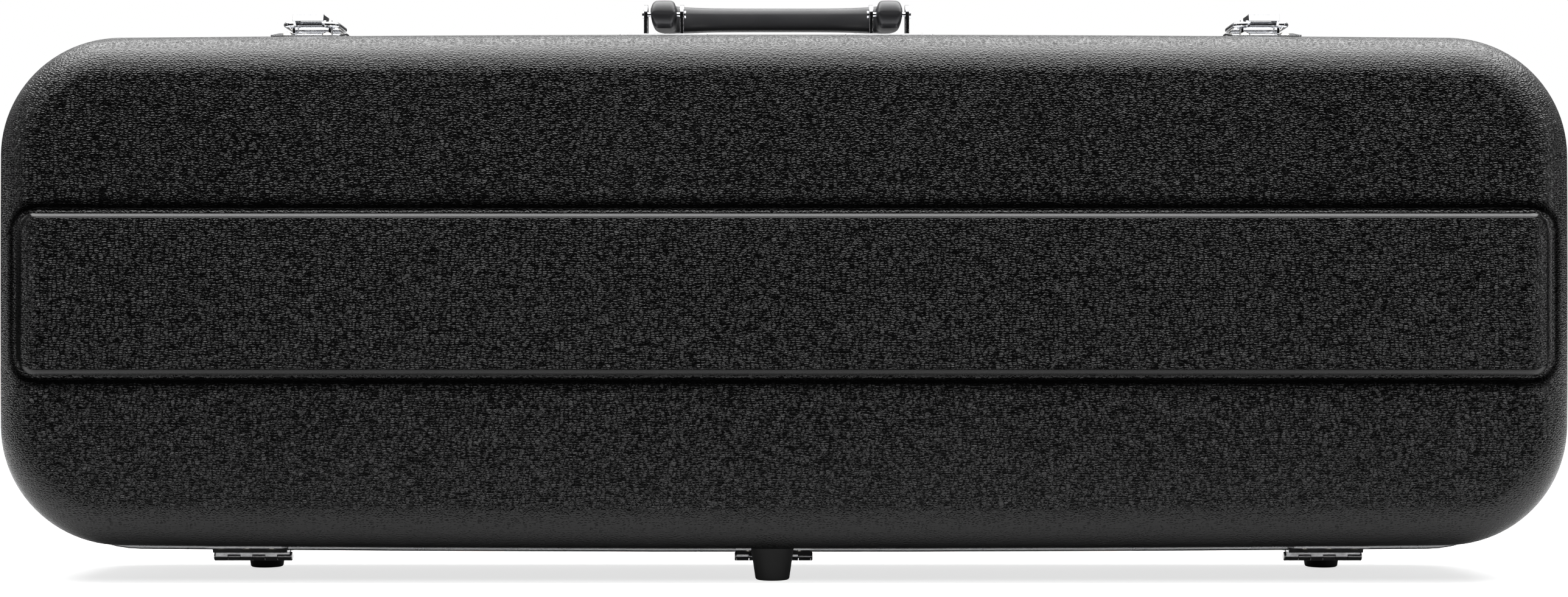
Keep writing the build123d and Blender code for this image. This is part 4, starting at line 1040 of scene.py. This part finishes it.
# ================================================================== stage, light and camera
def floor_and_world():
    me = bpy.data.meshes.new("stage_floor")
    s = 14.0
    me.from_pydata([(-s, -s, 0), (s, -s, 0), (s, s, 0), (-s, s, 0)], [], [(0, 1, 2, 3)])
    o = bpy.data.objects.new("stage_floor", me)
    col.objects.link(o)
    m = bpy.data.materials.new("floor")
    m.use_nodes = True
    nt = m.node_tree
    nt.nodes.clear()
    out = nt.nodes.new("ShaderNodeOutputMaterial")
    lp = nd(nt, "ShaderNodeLightPath")
    em = nd(nt, "ShaderNodeEmission", {"Color": (1, 1, 1, 1), "Strength": 0.8})
    gl = nd(nt, "ShaderNodeBsdfGlossy", {"Color": (1, 1, 1, 1), "Roughness": 0.06})
    df = nd(nt, "ShaderNodeBsdfDiffuse", {"Color": (0.55, 0.55, 0.55, 1)})
    a1 = nd(nt, "ShaderNodeAddShader", {0: em.outputs[0], 1: df.outputs[0]})
    seen = nd(nt, "ShaderNodeMixShader", {0: 0.09, 1: a1.outputs[0], 2: gl.outputs[0]})
    # painted shade: seen by reflection and bounce rays only, the floor is pale near the object and darker in front,
    # standing in for the dim, shadowed surroundings that the chrome and the lower edges reflect
    fy = nd(nt, "ShaderNodeSeparateXYZ", {0: nd(nt, "ShaderNodeTexCoord").outputs["Object"]}).outputs[1]
    tone = nd(nt, "ShaderNodeMapRange", {"Value": fy, 1: -0.32, 2: -0.09, 3: 0.01, 4: 0.55}, interpolation_type="SMOOTHSTEP")
    dim = nd(nt, "ShaderNodeBsdfDiffuse", {"Color": tone.outputs[0]})
    mx = nd(nt, "ShaderNodeMixShader", {0: lp.outputs["Is Camera Ray"], 1: dim.outputs[0], 2: seen.outputs[0]})
    # from below, the floor is clear
    back = nd(nt, "ShaderNodeNewGeometry").outputs["Backfacing"]
    clear = nd(nt, "ShaderNodeBsdfTransparent")
    both = nd(nt, "ShaderNodeMixShader", {0: back, 1: mx.outputs[0], 2: clear.outputs[0]})
    nt.links.new(both.outputs[0], out.inputs[0])
    me.materials.append(m)
    # the stage drops clear of the lid when the lid swings down
    drv = o.driver_add("location", 2).driver
    drv.type = "SCRIPTED"
    var = drv.variables.new()
    var.name = "a"
    var.type = "TRANSFORMS"
    var.targets[0].id = frame["bodies"]["lid"]
    var.targets[0].transform_type = "ROT_X"
    var.targets[0].transform_space = "WORLD_SPACE"
    drv.expression = "-0.142*min(1, abs(a)*3)"

    w = bpy.data.worlds.new("studio")
    scene.world = w
    w.use_nodes = True
    nt = w.node_tree
    nt.nodes.clear()
    out = nt.nodes.new("ShaderNodeOutputWorld")
    lp = nd(nt, "ShaderNodeLightPath")
    tc = nd(nt, "ShaderNodeTexCoord")
    sp = nd(nt, "ShaderNodeSeparateXYZ", {0: tc.outputs["Generated"]})
    # dim in front and below, bright behind, with one pale card behind the camera
    side = nd(nt, "ShaderNodeMapRange", {"Value": sp.outputs[1], 1: -0.35, 2: 0.6, 3: 0.03, 4: 0.7}, interpolation_type="SMOOTHSTEP")
    up = nd(nt, "ShaderNodeMapRange", {"Value": sp.outputs[2], 1: 0.08, 2: 0.45, 3: 0.04, 4: 1.0}, interpolation_type="SMOOTHSTEP")
    env = math_n(nt, "MULTIPLY", side.outputs[0], up.outputs[0])
    ax = math_n(nt, "ABSOLUTE", sp.outputs[0])
    cx = nd(nt, "ShaderNodeMapRange", {"Value": ax, 1: 0.1, 2: 0.2, 3: 1.0, 4: 0.0}, interpolation_type="SMOOTHSTEP")
    cz = nd(nt, "ShaderNodeMapRange", {"Value": math_n(nt, "ABSOLUTE", math_n(nt, "SUBTRACT", sp.outputs[2], 0.02)), 1: 0.06, 2: 0.12, 3: 1.0, 4: 0.0},
            interpolation_type="SMOOTHSTEP")
    cy = nd(nt, "ShaderNodeMapRange", {"Value": sp.outputs[1], 1: -0.9, 2: -0.8, 3: 1.0, 4: 0.0})
    card = math_n(nt, "MULTIPLY", math_n(nt, "MULTIPLY", cx.outputs[0], cz.outputs[0]), cy.outputs[0])
    strength = math_n(nt, "MULTIPLY_ADD", card, 0.08, env)
    envb = nd(nt, "ShaderNodeBackground", {"Color": (1, 1, 1, 1), "Strength": strength})
    white = nd(nt, "ShaderNodeBackground", {"Color": (1, 1, 1, 1), "Strength": 1.0})
    mx = nd(nt, "ShaderNodeMixShader", {0: lp.outputs["Is Camera Ray"], 1: envb.outputs[0], 2: white.outputs[0]})
    nt.links.new(mx.outputs[0], out.inputs[0])


def area(name, loc, target, sx, sy, power, color=(1, 1, 1), spread=180.0):
    d = bpy.data.lights.new(name, "AREA")
    d.shape = "RECTANGLE"
    d.size, d.size_y = sx, sy
    d.energy = power
    d.color = color
    d.spread = math.radians(spread)
    o = bpy.data.objects.new(name, d)
    col.objects.link(o)
    o.location = loc
    o.rotation_euler = (Vector(target) - Vector(loc)).to_track_quat("-Z", "Y").to_euler()
    return o


floor_and_world()
area("light_top", (0.1, 0.12, 1.6), (0.1, 0.0, 0.1), 3.2, 1.7, 104.0)
area("light_front", (0.1, -1.15, 1.5), (0.1, 0.0, 0.2), 2.9, 0.9, 20.0)
area("light_right", (2.1, -1.0, 0.5), (0.4, 0.0, 0.15), 0.16, 1.3, 4.0)
area("light_left", (-2.3, -1.0, 0.9), (-0.4, 0.0, 0.15), 0.5, 1.0, 2.6)

cam_d = bpy.data.cameras.new("camera")
cam = bpy.data.objects.new("camera", cam_d)
col.objects.link(cam)
scene.camera = cam
cam_d.sensor_width = 36.0
cam_d.lens = 52.09
cam_d.shift_y = 0.032
cam_d.clip_start, cam_d.clip_end = 0.05, 60
cam.location = (0.0, -1.203, 0.119)
cam.rotation_euler = (math.radians(90), 0, 0)
scene.view_settings.view_transform = "Standard"
scene.view_settings.look = "None"
